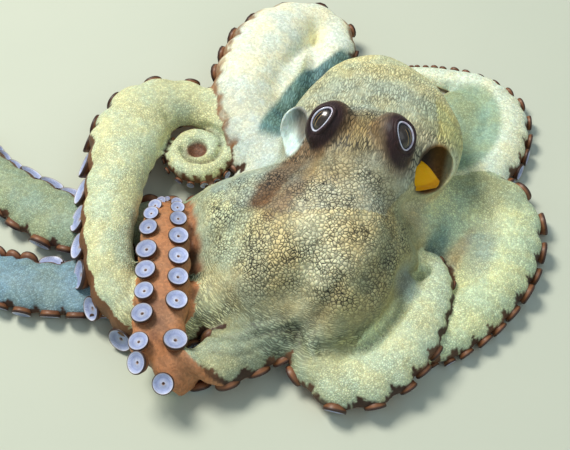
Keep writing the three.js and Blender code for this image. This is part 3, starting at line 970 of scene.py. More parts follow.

# %% [markdown]
# ## Arms
# Each arm fades from the web's colour to its own, and the own tones of arm_right_4 and
# arm_right_3 are darker and bluer as painted shade. Soft spots of painted shade, in blue-grey,
# teal and black, lie where the flesh turns from the light, each held to one arm where it
# names one.

# %% Arm colours
WEB_COLOURED_SHARE = {"arm_right_1": 0.45, "arm_left_1": 0.3}
# Spots of painted shade: colour, amount, arm or None for all, and an egg's centre and radii.
SHADE_SPOTS = [
    (BLACK, 0.16, "arm_right_2", (-116, 62, 18), (30, 26, 30)),
    (BLACK, 0.36, "arm_left_2", (62, 56, 16), (30, 18, 20)),
    (SHADE_BLUE_GREY, 0.55, None, (36, -16, 26), (10, 14, 14)),
    (SHADE_BLUE_GREY, 0.5, "arm_left_2", (66, 22, 18), (12, 30, 20)),
    (SHADE_TEAL, 0.7, None, (44, 16, 12), (9, 26, 14)),
]
for name, colour in ARM_TONES.items():
    until = WEB_COLOURED_SHARE.get(name, 0.14)
    tone = painted(tone, (colour, owned(name) * on_arm * smoothstep(share, until * 0.4, until)))
# Painted blue-grey shade on the front part of arm_left_4.
tone = painted(tone, (SHADE_BLUE_GREY, 0.4 * owned("arm_left_4") * smoothstep(y, 92, 66)))
for colour, amount, name, centre, radii in SHADE_SPOTS:
    tone = painted(tone, (colour, amount * blob(points, centre, radii) * (owned(name) if name else 1)))
# Painted teal shade along arm_left_3's own left side.
shaded_side = owned("arm_left_3") * on_arm * smoothstep(across_share, 0.2, 0.9) * (share < 0.75)
tone = painted(tone, (SHADE_TEAL, 0.3 * shaded_side))
print("spots:", len(SHADE_SPOTS))

# %% [markdown]
# ## Head
# A ragged brown patch runs down from the right eye, and tan flesh lies between the eyes. The
# patch is a streak whose points are first shaken by noise, which frays its edge. Each eye
# lies in a dark tear with a brown halo.

# %% Head colours
PATCH_LINE = [(-17, 32), (-26, 28), (-32, 18), (-37, 6), (-39, -6)]
PATCH_BRANCH = [(-22, 20), (-24, 6), (-31, -12)]
TEAR_SHIFT = 2.5
TEAR_RADII = (15, 10.3)
ragged = points + (2.2 * lump(points, 0.4) + 1.2 * lump(points, 0.9))[:, None]
patch = np.maximum(streak(ragged, PATCH_LINE, 11, 34), 0.7 * streak(ragged, PATCH_BRANCH, 9, 34))
tone = painted(
    tone,
    (BROWN_PATCH, np.clip(1.1 * patch * (0.9 - 0.25 * soft), 0, 1)),
    (TAN, 0.85 * blob(points, (-1, 30, 72), (15, 24, 12))),
    (TAN, 0.55 * blob(ragged, (-12, 12, 62), (18, 12, 16))),
)
for eye in EYES.values():
    local = (points - eye["centre"]) @ eye["axes"].T
    tear = np.hypot((local[:, 0] + TEAR_SHIFT) / TEAR_RADII[0], local[:, 1] / TEAR_RADII[1])
    eye["tear"] = smoothstep(tear, 1.08, 0.8) * smoothstep(local[:, 2], -4, 1)
    halo = smoothstep(tear, 1.5, 0.9) * smoothstep(local[:, 2], -10, -2)
    tone = painted(tone, (BROWN_PATCH, 0.7 * halo), (EYE_DARK, eye["tear"]))
print("brown patch covers", int((patch > 0.5).sum()), "points")

# %% [markdown]
# ## The mantle's openings
# The right opening is pale inside, with brown painted shade next to the head. The left one,
# behind the funnel, is painted as shade: nearly black in its depth and brown towards its lip.
# Both have cream lips.

# %% Colours of the openings
# Painted shade inside both openings: brown by the head in the right one, brown and black in the left.
pocket_inside, cavity_inside = (inside_opening(points, opening) for opening in OPENINGS)
tone = painted(
    tone,
    (RIM_CREAM, 0.8 * blob(points, (-39, 45, 50), (11, 17, 13))),
    (POCKET_PALE, pocket_inside),
    (POCKET_SHADE, 0.9 * pocket_inside * smoothstep(x + 0.5 * (y - 45), -41, -34)),
    (RIM_CREAM, 0.9 * blob(points, OPENINGS[1]["centre"], (20, 21, 19)) * smoothstep(x, 34, 40)),
    (CAVITY_SHADE_BROWN, cavity_inside * smoothstep(x, 42.5, 38)),
    (CAVITY_SHADE_BLACK, cavity_inside * smoothstep(x, 36, 29)),
)
print("points inside the openings:", int((pocket_inside + cavity_inside > 0.5).sum()))

# %% [markdown]
# ## Hems
# A dark hem parts the back of an arm from its sucker side. It is narrow at each sucker and
# runs up in a tooth between two, and it turns rusty where the skin draws back from a row
# that faces up. A tucked side has a hem near the floor at most.

# %% Hem colours
HEM_WIDTH = 0.9
HEM_TOOTH = 1.3
HEM_FRAY = 0.4
HEM_DRAWN = 1.1
FAR = 99
beside = (rim_gap > -2.5).astype(float)
hem_reach = HEM_WIDTH + HEM_TOOTH * (1 - sucker_wave) + HEM_FRAY * fine + HEM_DRAWN * drawn_back
hem_gap = np.minimum(edge_gap, np.where(height_share < 0.75, rim_gap - drawn_back, FAR))
hem = smoothstep(hem_gap, hem_reach + 0.5, hem_reach - 0.4) * on_arm * smoothstep(share, 0.03, 0.08)
hem = hem * beside * (1 - tucked * np.maximum(smoothstep(height_share, 0.2, 0.3), owned("arm_left_3")))
hem_tone = mix(np.array(HEM_BROWN), np.array(HEM_DARK), smoothstep(soft, -0.5, 0.4)[:, None])
hem_tone = mix(hem_tone, np.array(HEM_RUST), (0.5 * smoothstep(drawn_back, 1, 4))[:, None])
rust = owned("arm_left_4") * on_arm * smoothstep(across_share + 0.1 * fine + 0.06 * soft, 0.6, 0.86)
tone = painted(tone, (hem_tone, hem), (HEM_RUST, 0.9 * rust * (share > 0.22) * (share < 0.75)))
print("hem covers", int((hem > 0.5).sum()), "points")

# %% [markdown]
# ## Sucker sides and hollows
# The sucker side is known by its height in the section and by a normal that faces the
# suckers' way. It keeps clear of two hollows, which get painted shade: deep teal on the
# flank beside the mantle, and grey-green on the low web inside the rear arm. Folds get
# painted shade last, so that it cuts through every colour.

# %% Colours of the sucker side, hollows and folds
FLANK_LINE = [(-61, 48), (-61, 60), (-56.5, 86), (-50, 106), (-40, 120), (-34, 132)]
MANTLE_CLEARANCE = 46.5
COIL_HEART_GAP = (6.5, 4.5)
FOLD_SHADE = 0.32
FOLD_SHADE_WIDTH = 0.8
flank = smoothstep(side_of(points, FLANK_LINE), -1, 2.5) * smoothstep(y, 46, 56) * smoothstep(y, 134, 126)
clear_of_mantle = np.hypot(x - MANTLE_CENTRE[0], y - MANTLE_CENTRE[1]) / MANTLE_CLEARANCE
flank = flank * smoothstep(z, 37, 32) * smoothstep(x, -18, -26) * np.maximum(
    smoothstep(clear_of_mantle, 0.96, 1.02), smoothstep(z, 24, 18))
rear_gap = np.hypot(*((points[:, :2] - REAR_WEB_CENTRE[:2]) / REAR_WEB_RADII[:2]).T)
rear_hollow = smoothstep(rear_gap, 0.98, 0.8) * smoothstep(z, 24, 19)
oral = np.maximum(smoothstep(height_share, 0.2, 0.1), smoothstep(downward, 0.25, 0.5) * (height_share < 0.6))
oral = oral * on_arm * beside * smoothstep(share, 0.04, 0.1)
rolled = owned("arm_right_1") * on_arm * smoothstep(share, 0.27, 0.33) * smoothstep(downward, -0.1, 0.2)
oral = np.maximum(oral, rolled)
hollow = np.maximum(rear_hollow, flank)
oral, hem = oral * (1 - hollow), hem * (1 - hollow)
coil_gap = np.linalg.norm(points[:, :2] - ARMS["arm_right_2"]["coil"]["centre"], axis=1)
# Painted shade in the hollows: grey-green on the low web, deep teal on the flank.
tone = painted(
    tone,
    (HOLLOW_SHADE, 0.85 * rear_hollow),
    (SHADE_TEAL, 0.92 * flank),
    (ORAL, oral),
    (ORAL_DEEP, oral * smoothstep(soft + 0.4 * fine, 0.1, 0.9)),
    (ORAL_DEEP, owned("arm_right_2") * smoothstep(coil_gap, *COIL_HEART_GAP)),
)
# Painted shade along each fold.
for fold in FOLDS:
    painted_fold_shade = fold.get("shade", FOLD_SHADE) * fold_mask(points, fold, fold["width"] * FOLD_SHADE_WIDTH)
    tone = painted(tone, (BLACK, painted_fold_shade))
print("sucker side covers", int((oral > 0.5).sum()), "points")

# %% [markdown]
# ## Where each fine pattern lies
# The top of the web is pebbled, its lower part ridged, and the head, mantle and flank are
# wrinkled. Each gets a mask, and `calm` quietens all of them on smooth skin. `lie` holds a
# place measured out from the crown and round it, so that the ridges can follow the hem.

# %% Pattern attributes
LIE_SPAN = 400
RIDGE_STRETCH = 2.6
lid_mask = np.max([eye["tear"] for eye in EYES.values()], 0)
calm = np.clip(oral + hem + 0.55 * lid_mask + 0.8 * pocket_inside + cavity_inside, 0, 1)
calm = np.maximum(calm, on_arm * (0.6 * owned("arm_left_4") + 0.4 * owned("arm_left_3")) * (1 - flank))
calm = np.maximum(calm, 0.12 * mantle_mask)
on_body = 1 - on_arm * smoothstep(share, 0.16, 0.3)
reach_out = np.hypot(x, y)
pebbles = smoothstep(z, 20, 38) * smoothstep(y, 22, 10) * on_body
wrinkles = smoothstep(y, 12, 24) * smoothstep(z, 34, 48) * on_body * (1 - 0.2 * mantle_mask)
wrinkles = np.maximum(wrinkles, 0.8 * flank)
ridges = smoothstep(reach_out, 34, 48) * smoothstep(y, 22, 4) * on_body * (1 - pebbles)


def store(piece, name, values):
    """Saves one number, or one colour, for each vertex."""
    kind = "FLOAT_COLOR" if values.ndim == 2 else "FLOAT"
    attribute = piece.data.attributes.new(name, kind, "POINT")
    if values.ndim == 2:
        colours = np.column_stack([np.clip(values, 0, 1), np.ones(len(values))])
        attribute.data.foreach_set("color", colours.astype(np.float32).ravel())
    else:
        attribute.data.foreach_set("value", values.astype(np.float32))


store(skin, "tone", tone)
store(skin, "calm", calm)
store(skin, "pattern", np.column_stack([pebbles, ridges, wrinkles]))
outwards = reach_out + 0.8 * (60 - z)
sideways = 45 * turn_between(np.arctan2(y, x), -np.pi / 2) / RIDGE_STRETCH
lie = np.column_stack([outwards, sideways]) / LIE_SPAN + 0.5
store(skin, "lie", np.column_stack([lie, 0 * x]))
print("mean skin colour", tone.mean(0).round(2))

# %% [markdown]
# ## A short way to build materials
# A material is a graph of nodes. `Graph` adds a node, sets its settings and fills its
# sockets, either with a value or by a link from another node's socket, so that each finish
# below reads as a list of steps. Every pattern lies on Object coordinates or on attributes
# of the mesh, so it stays on the flesh from any side.


# %% Material graph helper
class Graph:
    def __init__(self, name):
        self.material = bpy.data.materials.new(name)
        self.material.use_nodes = True
        self.nodes = self.material.node_tree.nodes
        self.links = self.material.node_tree.links
        self.shader = self.nodes["Principled BSDF"]

    def fill(self, node, sockets):
        for key, value in sockets.items():
            if isinstance(value, bpy.types.NodeSocket):
                self.links.new(value, node.inputs[key])
            else:
                node.inputs[key].default_value = value

    def add(self, kind, sockets=None, **settings):
        node = self.nodes.new(kind)
        for name, value in settings.items():
            setattr(node, name, value)
        self.fill(node, sockets or {})
        return node

    def place(self):
        return self.add("ShaderNodeTexCoord").outputs["Object"]

    def math(self, operation, *values):
        node = self.add("ShaderNodeMath", dict(enumerate(values)), operation=operation)
        return node.outputs[0]

    def times(self, first, *others):
        for other in others:
            first = self.math("MULTIPLY", first, other)
        return first

    def rest(self, value):
        """What a number leaves of one."""
        return self.math("SUBTRACT", 1.0, value)

    def vector(self, operation, first, second):
        return self.add("ShaderNodeVectorMath", {0: first, 1: second}, operation=operation).outputs[0]

    def spread(self, value, low, high, to_low=0.0, to_high=1.0):
        """Maps a range to another, smoothly and clamped."""
        node = self.add("ShaderNodeMapRange", {0: value, 1: low, 2: high, 3: to_low, 4: to_high},
                        interpolation_type="SMOOTHSTEP")
        return node.outputs[0]

    def blend(self, share, first, second):
        """Mixes two colours."""
        node = self.add("ShaderNodeMix", {0: share, 6: first, 7: second}, data_type="RGBA")
        return node.outputs[2]

    def between(self, share, first, second):
        """Mixes two numbers."""
        node = self.add("ShaderNodeMix", {0: share, 2: first, 3: second})
        return node.outputs[0]

    def tint(self, colour, factor):
        """Multiplies a colour by a number."""
        node = self.add("ShaderNodeVectorMath", {0: colour, 3: factor}, operation="SCALE")
        return node.outputs[0]

    def noise(self, place, scale, detail=2.0, rough=0.5):
        return self.add("ShaderNodeTexNoise", {"Vector": place, "Scale": scale, "Detail": detail,
                                               "Roughness": rough})

    def cloud(self, place, scale, low, high, to_low=0.0, to_high=1.0, detail=3.0, rough=0.5):
        """Noise whose range from low to high is mapped to another."""
        fac = self.noise(place, scale, detail, rough).outputs["Fac"]
        return self.spread(fac, low, high, to_low, to_high)

    def read(self, name):
        return self.add("ShaderNodeAttribute", attribute_name=name)

    def bump(self, height, distance, strength=1.0, normal=None):
        sockets = {"Height": height, "Distance": distance, "Strength": strength}
        if normal is not None:
            sockets["Normal"] = normal
        return self.add("ShaderNodeBump", sockets).outputs[0]


print("materials so far:", len(bpy.data.materials))

# %% [markdown]
# ## The skin's finish
# Close up, the skin is a mosaic parted by fine dark creases: round pebbles on top of the
# web, a fine grain on the arms, wavy ridges along the hem of the web, and long wrinkles
# between the eyes. Each is a Voronoi pattern, on coordinates stretched to its direction,
# and the `pattern` attribute says where each one lies. The same cells colour the skin and
# raise it as bump.

# %% Skin cells
GRAIN = 1 / 0.00115
PEBBLE = 1 / 0.0018
RIDGE_PITCH = 1 / 0.0013
WRINKLE = 1 / 0.00105
WRINKLE_STRETCH = (1.0, 0.24, 0.24)
DRIFT = 0.003
LIE_SCALE = 0.4
LIE_DRIFT = 0.0045

finish = Graph("octopus_skin")
place = finish.place()
drift = finish.vector("SUBTRACT", finish.noise(place, 130).outputs["Color"], (0.5, 0.5, 0.5))
bent = finish.vector("ADD", place, finish.tint(drift, DRIFT))
lie = finish.vector("SUBTRACT", finish.read("lie").outputs["Vector"], (0.5, 0.5, 0.0))
lie = finish.vector("ADD", finish.tint(lie, LIE_SCALE), finish.tint(drift, LIE_DRIFT))
long_way = finish.vector("MULTIPLY", bent, WRINKLE_STRETCH)


def mosaic(vector, scale, wide):
    """Height of the cells, the creases between them, and a chance number for each cell."""
    sockets = {"Vector": vector, "Scale": scale}
    cells = finish.add("ShaderNodeTexVoronoi", sockets)
    creases = finish.add("ShaderNodeTexVoronoi", sockets, feature="DISTANCE_TO_EDGE")
    height = finish.spread(cells.outputs["Distance"], 0.0, 0.75, 1.0, 0.0)
    crease = finish.spread(creases.outputs["Distance"], 0.0, wide)
    return height, crease, finish.add("ShaderNodeSeparateColor", {0: cells.outputs["Color"]}).outputs[0]


# Each kind is its cells, how dark their creases are, and how deep the relief is, in metres.
shown = (*mosaic(bent, GRAIN, 0.22), 0.36, 0.00026)
kinds = [(*mosaic(bent, PEBBLE, 0.19), 0.84, 0.00055), (*mosaic(lie, RIDGE_PITCH, 0.26), 0.72, 0.0005),
         (*mosaic(long_way, WRINKLE, 0.24), 0.8, 0.00045)]
pattern = finish.add("ShaderNodeSeparateColor", {0: finish.read("pattern").outputs["Color"]})
for amount, kind in zip(pattern.outputs, kinds):
    shown = [finish.between(amount, a, b) for a, b in zip(shown, kind)]
height, crease, luck, line_depth, relief_depth = shown
print("kinds of skin pattern:", 1 + len(kinds))

# %% [markdown]
# ## Cells into colour and relief
# The creases darken the painted colour and each cell gets a little luck. Clouds of warm and
# cool, brown blotches and dark flecks follow, all quietened where the skin is calm. The
# same cells raise the surface, and a fine noise keeps the gloss from looking like plastic.

# %% Skin finish
COOL, WARM = (0.90, 0.98, 1.06), (1.12, 1.02, 0.84)
BLOTCH_BROWN = (0.62, 0.55, 0.45)
FLECK_SHADE = 0.5
rough_skin = finish.rest(finish.read("calm").outputs["Fac"])
worn = finish.cloud(place, 75, 0.3, 0.7, 0.6, 1.25)
line = finish.rest(finish.times(finish.rest(crease), finish.times(line_depth, rough_skin, worn)))
lucky = finish.spread(luck, 0.0, 1.0, 0.84, 1.14)
colour = finish.tint(finish.read("tone").outputs["Color"], finish.times(line, lucky))
cloud = finish.times(finish.cloud(place, 55, 0.35, 0.65, detail=4, rough=0.6), 0.8)
colour = finish.blend(cloud, finish.vector("MULTIPLY", colour, COOL), finish.vector("MULTIPLY", colour, WARM))
blotch = finish.times(finish.cloud(place, 120, 0.52, 0.72, 0.0, 0.38, 4, 0.65), rough_skin)
colour = finish.blend(blotch, colour, finish.vector("MULTIPLY", colour, BLOTCH_BROWN))
fleck = finish.times(finish.cloud(place, 420, 0.56, 0.72, 0.0, 0.3, 3, 0.7), rough_skin)
colour = finish.blend(fleck, colour, finish.tint(colour, FLECK_SHADE))
normal = finish.bump(finish.times(height, crease, rough_skin), relief_depth, 0.8)
normal = finish.bump(finish.noise(place, 900, 3).outputs["Fac"], 0.00016, 0.5, normal)
finish.fill(finish.shader, {
    "Base Color": colour, "Normal": normal, "Roughness": 0.58, "Subsurface Weight": 0.1,
    "Subsurface Radius": (1.0, 0.6, 0.35), "Subsurface Scale": 0.0025, "Coat Weight": 0.06,
    "Coat Roughness": 0.35, "Specular IOR Level": 0.32,
})
skin.data.materials.clear()
skin.data.materials.append(finish.material)
shade_round(skin)
print("skin finished")

# %% [markdown]
# ## A sucker
# A sucker is a shallow cup on a short stalk: a wall, a rolled rim, a ribbed disc that
# slopes in, and a pit. It is modelled once, facing up, from a disc whose cap is raised and
# resized step by step. A coarser one, with a few dozen faces, serves for the many suckers
# that lie under the arms. A band number for each ring, 1 at the foot and 0 in the pit, will
# colour it.

# %% Model the sucker
CUP_FOOT = 0.82
SUCKER_STEPS = [(0.22, 1.09), (0.15, 1.08), (0.10, 1.01), (0.07, 0.965), (0.02, 0.94), (-0.03, 0.965),
                (-0.05, 0.93), (-0.09, 0.62), (-0.03, 0.36), (0.02, 0.84), (-0.12, 0.6), (-0.05, 0.7)]
SUCKER_BANDS = [1.0, 0.96, 0.92, 0.90, 0.875, 0.845, 0.80, 0.74, 0.42, 0.24, 0.20, 0.08, 0.0]
PLAIN_STEPS = [(0.5, 1.19), (0.03, 0.86), (-0.14, 0.4)]
PLAIN_BANDS = [1.0, 0.88, 0.79, 0.2]


def turned_cup(name, sides, steps):
    """A cup from a disc, each step lifting its cap and resizing it."""
    cup = add_primitive(name, bpy.ops.mesh.primitive_circle_add,
                        vertices=sides, radius=CUP_FOOT, fill_type="NGON")
    bpy.ops.object.mode_set(mode="EDIT")
    bpy.ops.mesh.select_all(action="SELECT")
    for rise, size in steps:
        bpy.ops.mesh.extrude_region_move(TRANSFORM_OT_translate={"value": (0, 0, rise)})
        bpy.ops.transform.resize(value=(size, size, 1))
    bpy.ops.mesh.select_all(action="SELECT")
    bpy.ops.mesh.normals_make_consistent(inside=False)
    bpy.ops.object.mode_set(mode="OBJECT")
    return cup


def cup_parts(cup, sides, bands):
    """The cup's points and faces, and each point's band and its place round the middle."""
    places = points_of(cup) * MM
    faces = [tuple(face.vertices) for face in cup.data.polygons]
    band = np.repeat(bands, sides)[:len(places)]
    around = places[:, :2] / np.maximum(np.linalg.norm(places[:, :2], axis=1), 1e-6)[:, None]
    bpy.data.objects.remove(cup)
    return dict(places=places, faces=faces, band=band, around=around)


FINE_SIDES = 40
PLAIN_SIDES = 12
CUPS = {
    "fine": cup_parts(turned_cup("cup", FINE_SIDES, SUCKER_STEPS), FINE_SIDES, SUCKER_BANDS),
    "plain": cup_parts(turned_cup("cup", PLAIN_SIDES, PLAIN_STEPS), PLAIN_SIDES, PLAIN_BANDS),
}
print({kind: len(cup["faces"]) for kind, cup in CUPS.items()}, "faces in a sucker")

# %% [markdown]
# ## How the rows of suckers lie
# On the rolled arm both rows face up. Under the other arms they face down and outwards, so
# that their brown walls peep out beyond the hem, and a few rows turn up on edge. `TILTS`
# gives that turn in degrees along an arm: 0 faces the floor, 90 faces out, and more faces
# up. A row that is pressed against flesh is left bare, and one more sucker sits on the
# rolled arm's corner.

# %% How the rows lie
SUCKER_TILT = 62
TUCKED_TILT = 38
TILTS = {
    ("arm_right_2", 1): [(0.0, 66), (0.17, 84), (0.23, 120), (0.44, 124), (0.5, 104), (0.56, 98),
                         (0.76, 98), (0.84, 72)],
    ("arm_left_2", 1): [(0.0, 66), (0.2, 92), (0.26, 98), (0.44, 98), (0.52, 80), (0.8, 66)],
    ("arm_left_3", -1): [(0.0, 66), (0.26, 80), (0.36, 92), (0.56, 96), (0.68, 98), (1.0, 98)],
    ("arm_left_1", -1): [(0.0, 60), (0.5, 64), (0.7, 76)],
    ("arm_left_4", 1): [(0.0, 50), (0.4, 66), (0.6, 94), (0.8, 70)],
    ("arm_right_4", -1): [(0.0, 62), (0.44, 70), (0.56, 134), (0.95, 134), (1.0, 80)],
    ("arm_right_3", -1): [(0.0, 62), (0.54, 70), (0.58, 150), (0.66, 150), (0.7, 70)],
    ("arm_right_1", 1): [(0.0, 60), (0.2, 52), (0.3, 36)],
}
FINE_ROWS = {("arm_right_1", -1), ("arm_right_1", 1), ("arm_right_2", 1), ("arm_right_4", -1),
             ("arm_left_1", -1), ("arm_right_3", -1), ("arm_left_2", 1), ("arm_left_3", -1)}
BARE = [("arm_left_4", -1, 0.0, 1.0), ("arm_right_2", -1, 0.6, 1.0), ("arm_left_3", 1, 0.4, 1.0),
        ("arm_right_1", 1, 0.34, 0.41), ("arm_right_1", 1, 0.5, 0.55)]
CORNER_SHARE = 0.456
CORNER_SPREAD = 0.014
CORNER_SIZE = 11.5
CORNER_LEAN = 34
CORNER_OUT = 0.6
TURNING = (0.2, 1.2)
TURNED_TILT = 9
TURNED_ROW = 0.285
TURNED_LIFT = 0.9
CORNER_LIFT = 1.4
RIM_PUSH = 1.5
TUCKED_PUSH = -2.4
PUSH_WIDTH = 24
FLOOR_CLEARANCE = 0.25
EDGE_OVERHANG = 0.34
EDGE_STAND = 0.85
ON_EDGE = (74, 94)
RIM_OUT = {"arm_right_2": 0.3}
RIM_OUT_BEHIND = 2.1
UPTURNED_OUT = -0.9
print("rows with their own tilt:", len(TILTS))

# %% [markdown]
# ## The stand of one sucker
# A sucker's place is worked out in its arm's section: how far across, how high, and tilted
# how much. Three stands are mixed: under the arm, on edge beside the hem, and on top of the
# rolled arm. The section's own roll then turns the stand into the world.

# %% One sucker's stand
from mathutils.bvhtree import BVHTree

flesh_tree = BVHTree.FromPolygons([v.co[:] for v in skin.data.vertices],
                                  [tuple(f.vertices) for f in skin.data.polygons])


def inside_flesh(place):
    """How deep a point, in millimetres, lies under the skin. Negative outside."""
    found, normal, _, gap = flesh_tree.find_nearest(Vector(place) * MM)
    outside = (Vector(place) * MM - found).dot(normal) > 0
    return -gap / MM if outside else gap / MM


def tilt_below(name, arm, row, step):
    """How far a sucker under the arm turns from facing the floor, in degrees, with some luck."""
    tilt = (TUCKED_TILT if row == arm["tucked"] else SUCKER_TILT) + chance.uniform(-9, 9)
    if (name, row) in TILTS:
        shares, angles = zip(*TILTS[name, row])
        tilt = np.interp(arm["share"][step], shares, angles) + chance.uniform(-6, 6)
    return tilt


def sucker_stand(name, arm, row, at, size):
    """The middle of a sucker's rim, its three axes, the last being the way it faces, and its radius."""
    step = int(round(np.interp(at, arm["along"], np.arange(len(arm["along"])))))
    roll = arm["roll"][step]
    upturned = smoothstep(roll, *TURNING)
    corner = math.exp(-((arm["share"][step] - CORNER_SHARE) / CORNER_SPREAD) ** 2) * (row < 0) * upturned
    tilt = mix(tilt_below(name, arm, row, step), TURNED_TILT + CORNER_LEAN * corner, upturned)
    tilt = math.radians(tilt)
    radius = size / 2
    reach = (arm["left"] if row > 0 else arm["right"])[step]
    push = (TUCKED_PUSH if row == arm["tucked"] else RIM_PUSH) * min(1, arm["width"][step] / PUSH_WIDTH)
    across = reach + push - radius * max(math.cos(tilt), 0.1)
    height = max(radius * math.sin(tilt), 0.4) + FLOOR_CLEARANCE
    on_edge = smoothstep(math.degrees(tilt), *ON_EDGE)
    skin_edge = edge_of(arm, row)[step]
    north = max(0.0, arm["side"][step][1] * row)
    rim_out = RIM_OUT.get(name, -0.6) + RIM_OUT_BEHIND * north
    proud = np.interp(math.degrees(tilt), (94, 106, 120), (rim_out, rim_out, UPTURNED_OUT))
    across = mix(across, skin_edge + proud + EDGE_OVERHANG * radius, on_edge)
    edge_height = max(EDGE_HEIGHT * arm["depth"][step] + 0.5, EDGE_STAND * radius)
    height = mix(height, edge_height, on_edge)
    across = mix(across, TURNED_ROW * arm["width"][step] * (1 + CORNER_OUT * corner), upturned)
    lift = TURNED_LIFT + CORNER_LIFT * smoothstep(arm["share"][step], 0.5, 0.46)
    height = mix(height, -lift, upturned)
    face = np.array([math.sin(tilt) * row, -math.cos(tilt)])
    turn, lean = math.cos(roll), math.sin(roll)
    facing = (arm["side"][step] * (face[0] * turn - face[1] * lean)
              + np.array([0, 0, 1]) * (face[0] * lean + face[1] * turn))
    rim = arm_point(arm, step, np.array(across * row), np.array(height))
    across_axis = np.cross(facing, arm["ahead"][step])
    across_axis /= np.linalg.norm(across_axis)
    axes = np.array([np.cross(across_axis, facing), across_axis, facing])
    return rim, axes, radius


print("skin faces to measure against:", len(skin.data.polygons))

# %% [markdown]
# ## Placing the suckers
# A sucker whose rim would lie deep inside neighbouring flesh is left out. The rest are
# copied from the cup, each with its own size, place and luck, and joined into one mesh for
# each arm. Writing the mesh at once is far quicker than copying hundreds of objects.

# %% Place the suckers
BURIED = 0.45
ROLLED_FROM = 0.36
CUP_STRETCH = 1.15
SUCKER_FLOOR_GAP = 0.1


def stands(name, arm, row, at, depth, radius):
    """Whether a sucker is kept: not deep in flesh, and not on a bare stretch."""
    rolled_part = "roll" in ARMS[name] and at > ROLLED_FROM * arm["length"]
    bare = any(spot[:2] == (name, row) and spot[2] < at / arm["length"] < spot[3] for spot in BARE)
    return not bare and (depth <= radius * BURIED or rolled_part)


def arm_suckers(name, arm):
    places, faces, band, around, luck = [], [], [], [], []
    if "roll" in ARMS[name]:
        arm["rows"][-1] = np.vstack([arm["rows"][-1], (CORNER_SHARE * arm["length"], CORNER_SIZE)])
    for row, spots in arm["rows"].items():
        cup = CUPS["fine" if (name, row) in FINE_ROWS else "plain"]
        top = cup["places"][:, 2].max()
        for at, size in spots:
            rim, axes, radius = sucker_stand(name, arm, row, at, size)
            if not stands(name, arm, row, at, inside_flesh(rim), radius):
                continue
            local = (cup["places"] - [0, 0, top]) * [1, 1, CUP_STRETCH] * radius
            start = sum(len(p) for p in places)
            places.append(kept_above(local @ axes + rim, SUCKER_FLOOR_GAP))
            faces += [tuple(start + i for i in face) for face in cup["faces"]]
            band.append(cup["band"])
            around.append(cup["around"])
            luck.append(np.full(len(cup["band"]), chance.uniform(0, 1)))
    mesh = bpy.data.meshes.new(name + "_suckers")
    mesh.from_pydata(np.concatenate(places) * MM, [], faces)
    piece = bpy.data.objects.new(name + "_suckers", mesh)
    bpy.context.scene.collection.objects.link(piece)
    store(piece, "band", np.concatenate(band))
    store(piece, "luck", np.concatenate(luck))
    turns = np.concatenate(around)
    store(piece, "around", np.column_stack([turns * 0.5 + 0.5, np.zeros(len(turns))]))
    shade_round(piece)
    return piece


sucker_pieces = {name: arm_suckers(name, arm) for name, arm in arms.items()}
for name, piece in sucker_pieces.items():
    print(name, "suckers:", len(piece.data.polygons), "faces")

# %% [markdown]
# ## The suckers' finish
# From the pit outwards a sucker is brown in the pit, lilac-white on the ribbed disc, pale
# at the rim, and dark brown down its wall. The `band` attribute, 0 in the pit and 1 at the
# foot, picks the colour from a ramp. The ribs are waves round the middle.

# %% Sucker material
# The darker step at 0.48 paints the shade of a shallow groove round the disc.
SUCKER_RAMP = [
    (0.00, (0.22, 0.12, 0.08)), (0.10, (0.34, 0.22, 0.16)), (0.19, (0.48, 0.40, 0.42)),
    (0.23, (0.58, 0.62, 0.80)), (0.40, (0.46, 0.53, 0.80)), (0.48, (0.37, 0.43, 0.70)),
    (0.56, (0.45, 0.51, 0.78)), (0.76, (0.58, 0.64, 0.90)), (0.80, (0.82, 0.84, 0.92)),
    (0.835, (0.50, 0.42, 0.46)), (0.86, (0.040, 0.018, 0.016)), (0.91, (0.07, 0.028, 0.016)),
    (0.94, (0.30, 0.12, 0.045)), (1.00, (0.20, 0.075, 0.035)),
]
RIBS = 36
RIB_SHADE = 0.1

ribbed = Graph("octopus_sucker")
band_here = ribbed.read("band").outputs["Fac"]
turn_here = ribbed.add("ShaderNodeSeparateXYZ", {0: ribbed.read("around").outputs["Vector"]}).outputs
angle = ribbed.math("ARCTAN2", *(ribbed.math("SUBTRACT", turn_here[i], 0.5) for i in (1, 0)))
on_disc = ribbed.times(ribbed.spread(band_here, 0.24, 0.34), ribbed.spread(band_here, 0.8, 0.7))
rib = ribbed.times(ribbed.math("SINE", ribbed.times(angle, RIBS)), on_disc)
ramp = ribbed.add("ShaderNodeValToRGB", {0: band_here})
while len(ramp.color_ramp.elements) < len(SUCKER_RAMP):
    ramp.color_ramp.elements.new(0.5)
for element, (at, colour) in zip(ramp.color_ramp.elements, SUCKER_RAMP):
    element.position = at
    element.color = (*colour, 1)
lucky = ribbed.spread(ribbed.read("luck").outputs["Fac"], 0, 1, 0.82, 1.05)
spots = ribbed.cloud(ribbed.place(), 350, 0.3, 0.7, 0.85, 1.08)
shade = ribbed.times(ribbed.rest(ribbed.times(rib, RIB_SHADE)), lucky, spots)
ribbed.fill(ribbed.shader, {
    "Base Color": ribbed.tint(ramp.outputs[0], shade), "Normal": ribbed.bump(rib, 0.0001, 0.6),
    "Roughness": 0.5, "Subsurface Weight": 0.08, "Subsurface Radius": (0.8, 0.7, 0.9),
    "Subsurface Scale": 0.0015, "Coat Weight": 0.08, "Coat Roughness": 0.25,
})
for piece in sucker_pieces.values():
    piece.data.materials.append(ribbed.material)
print("suckers finished")

# %% [markdown]
# ## The eyes
# The eyeball is a wet, glossy ball. Its iris is brown-grey with fine streaks
# along the slit, the pupil is a dark bar that bends along the outer side with gold at its
# edges, and a thin pale ring lines the lids. The pattern is drawn by the material from two
# coordinates kept on the ball, along and across the slit.

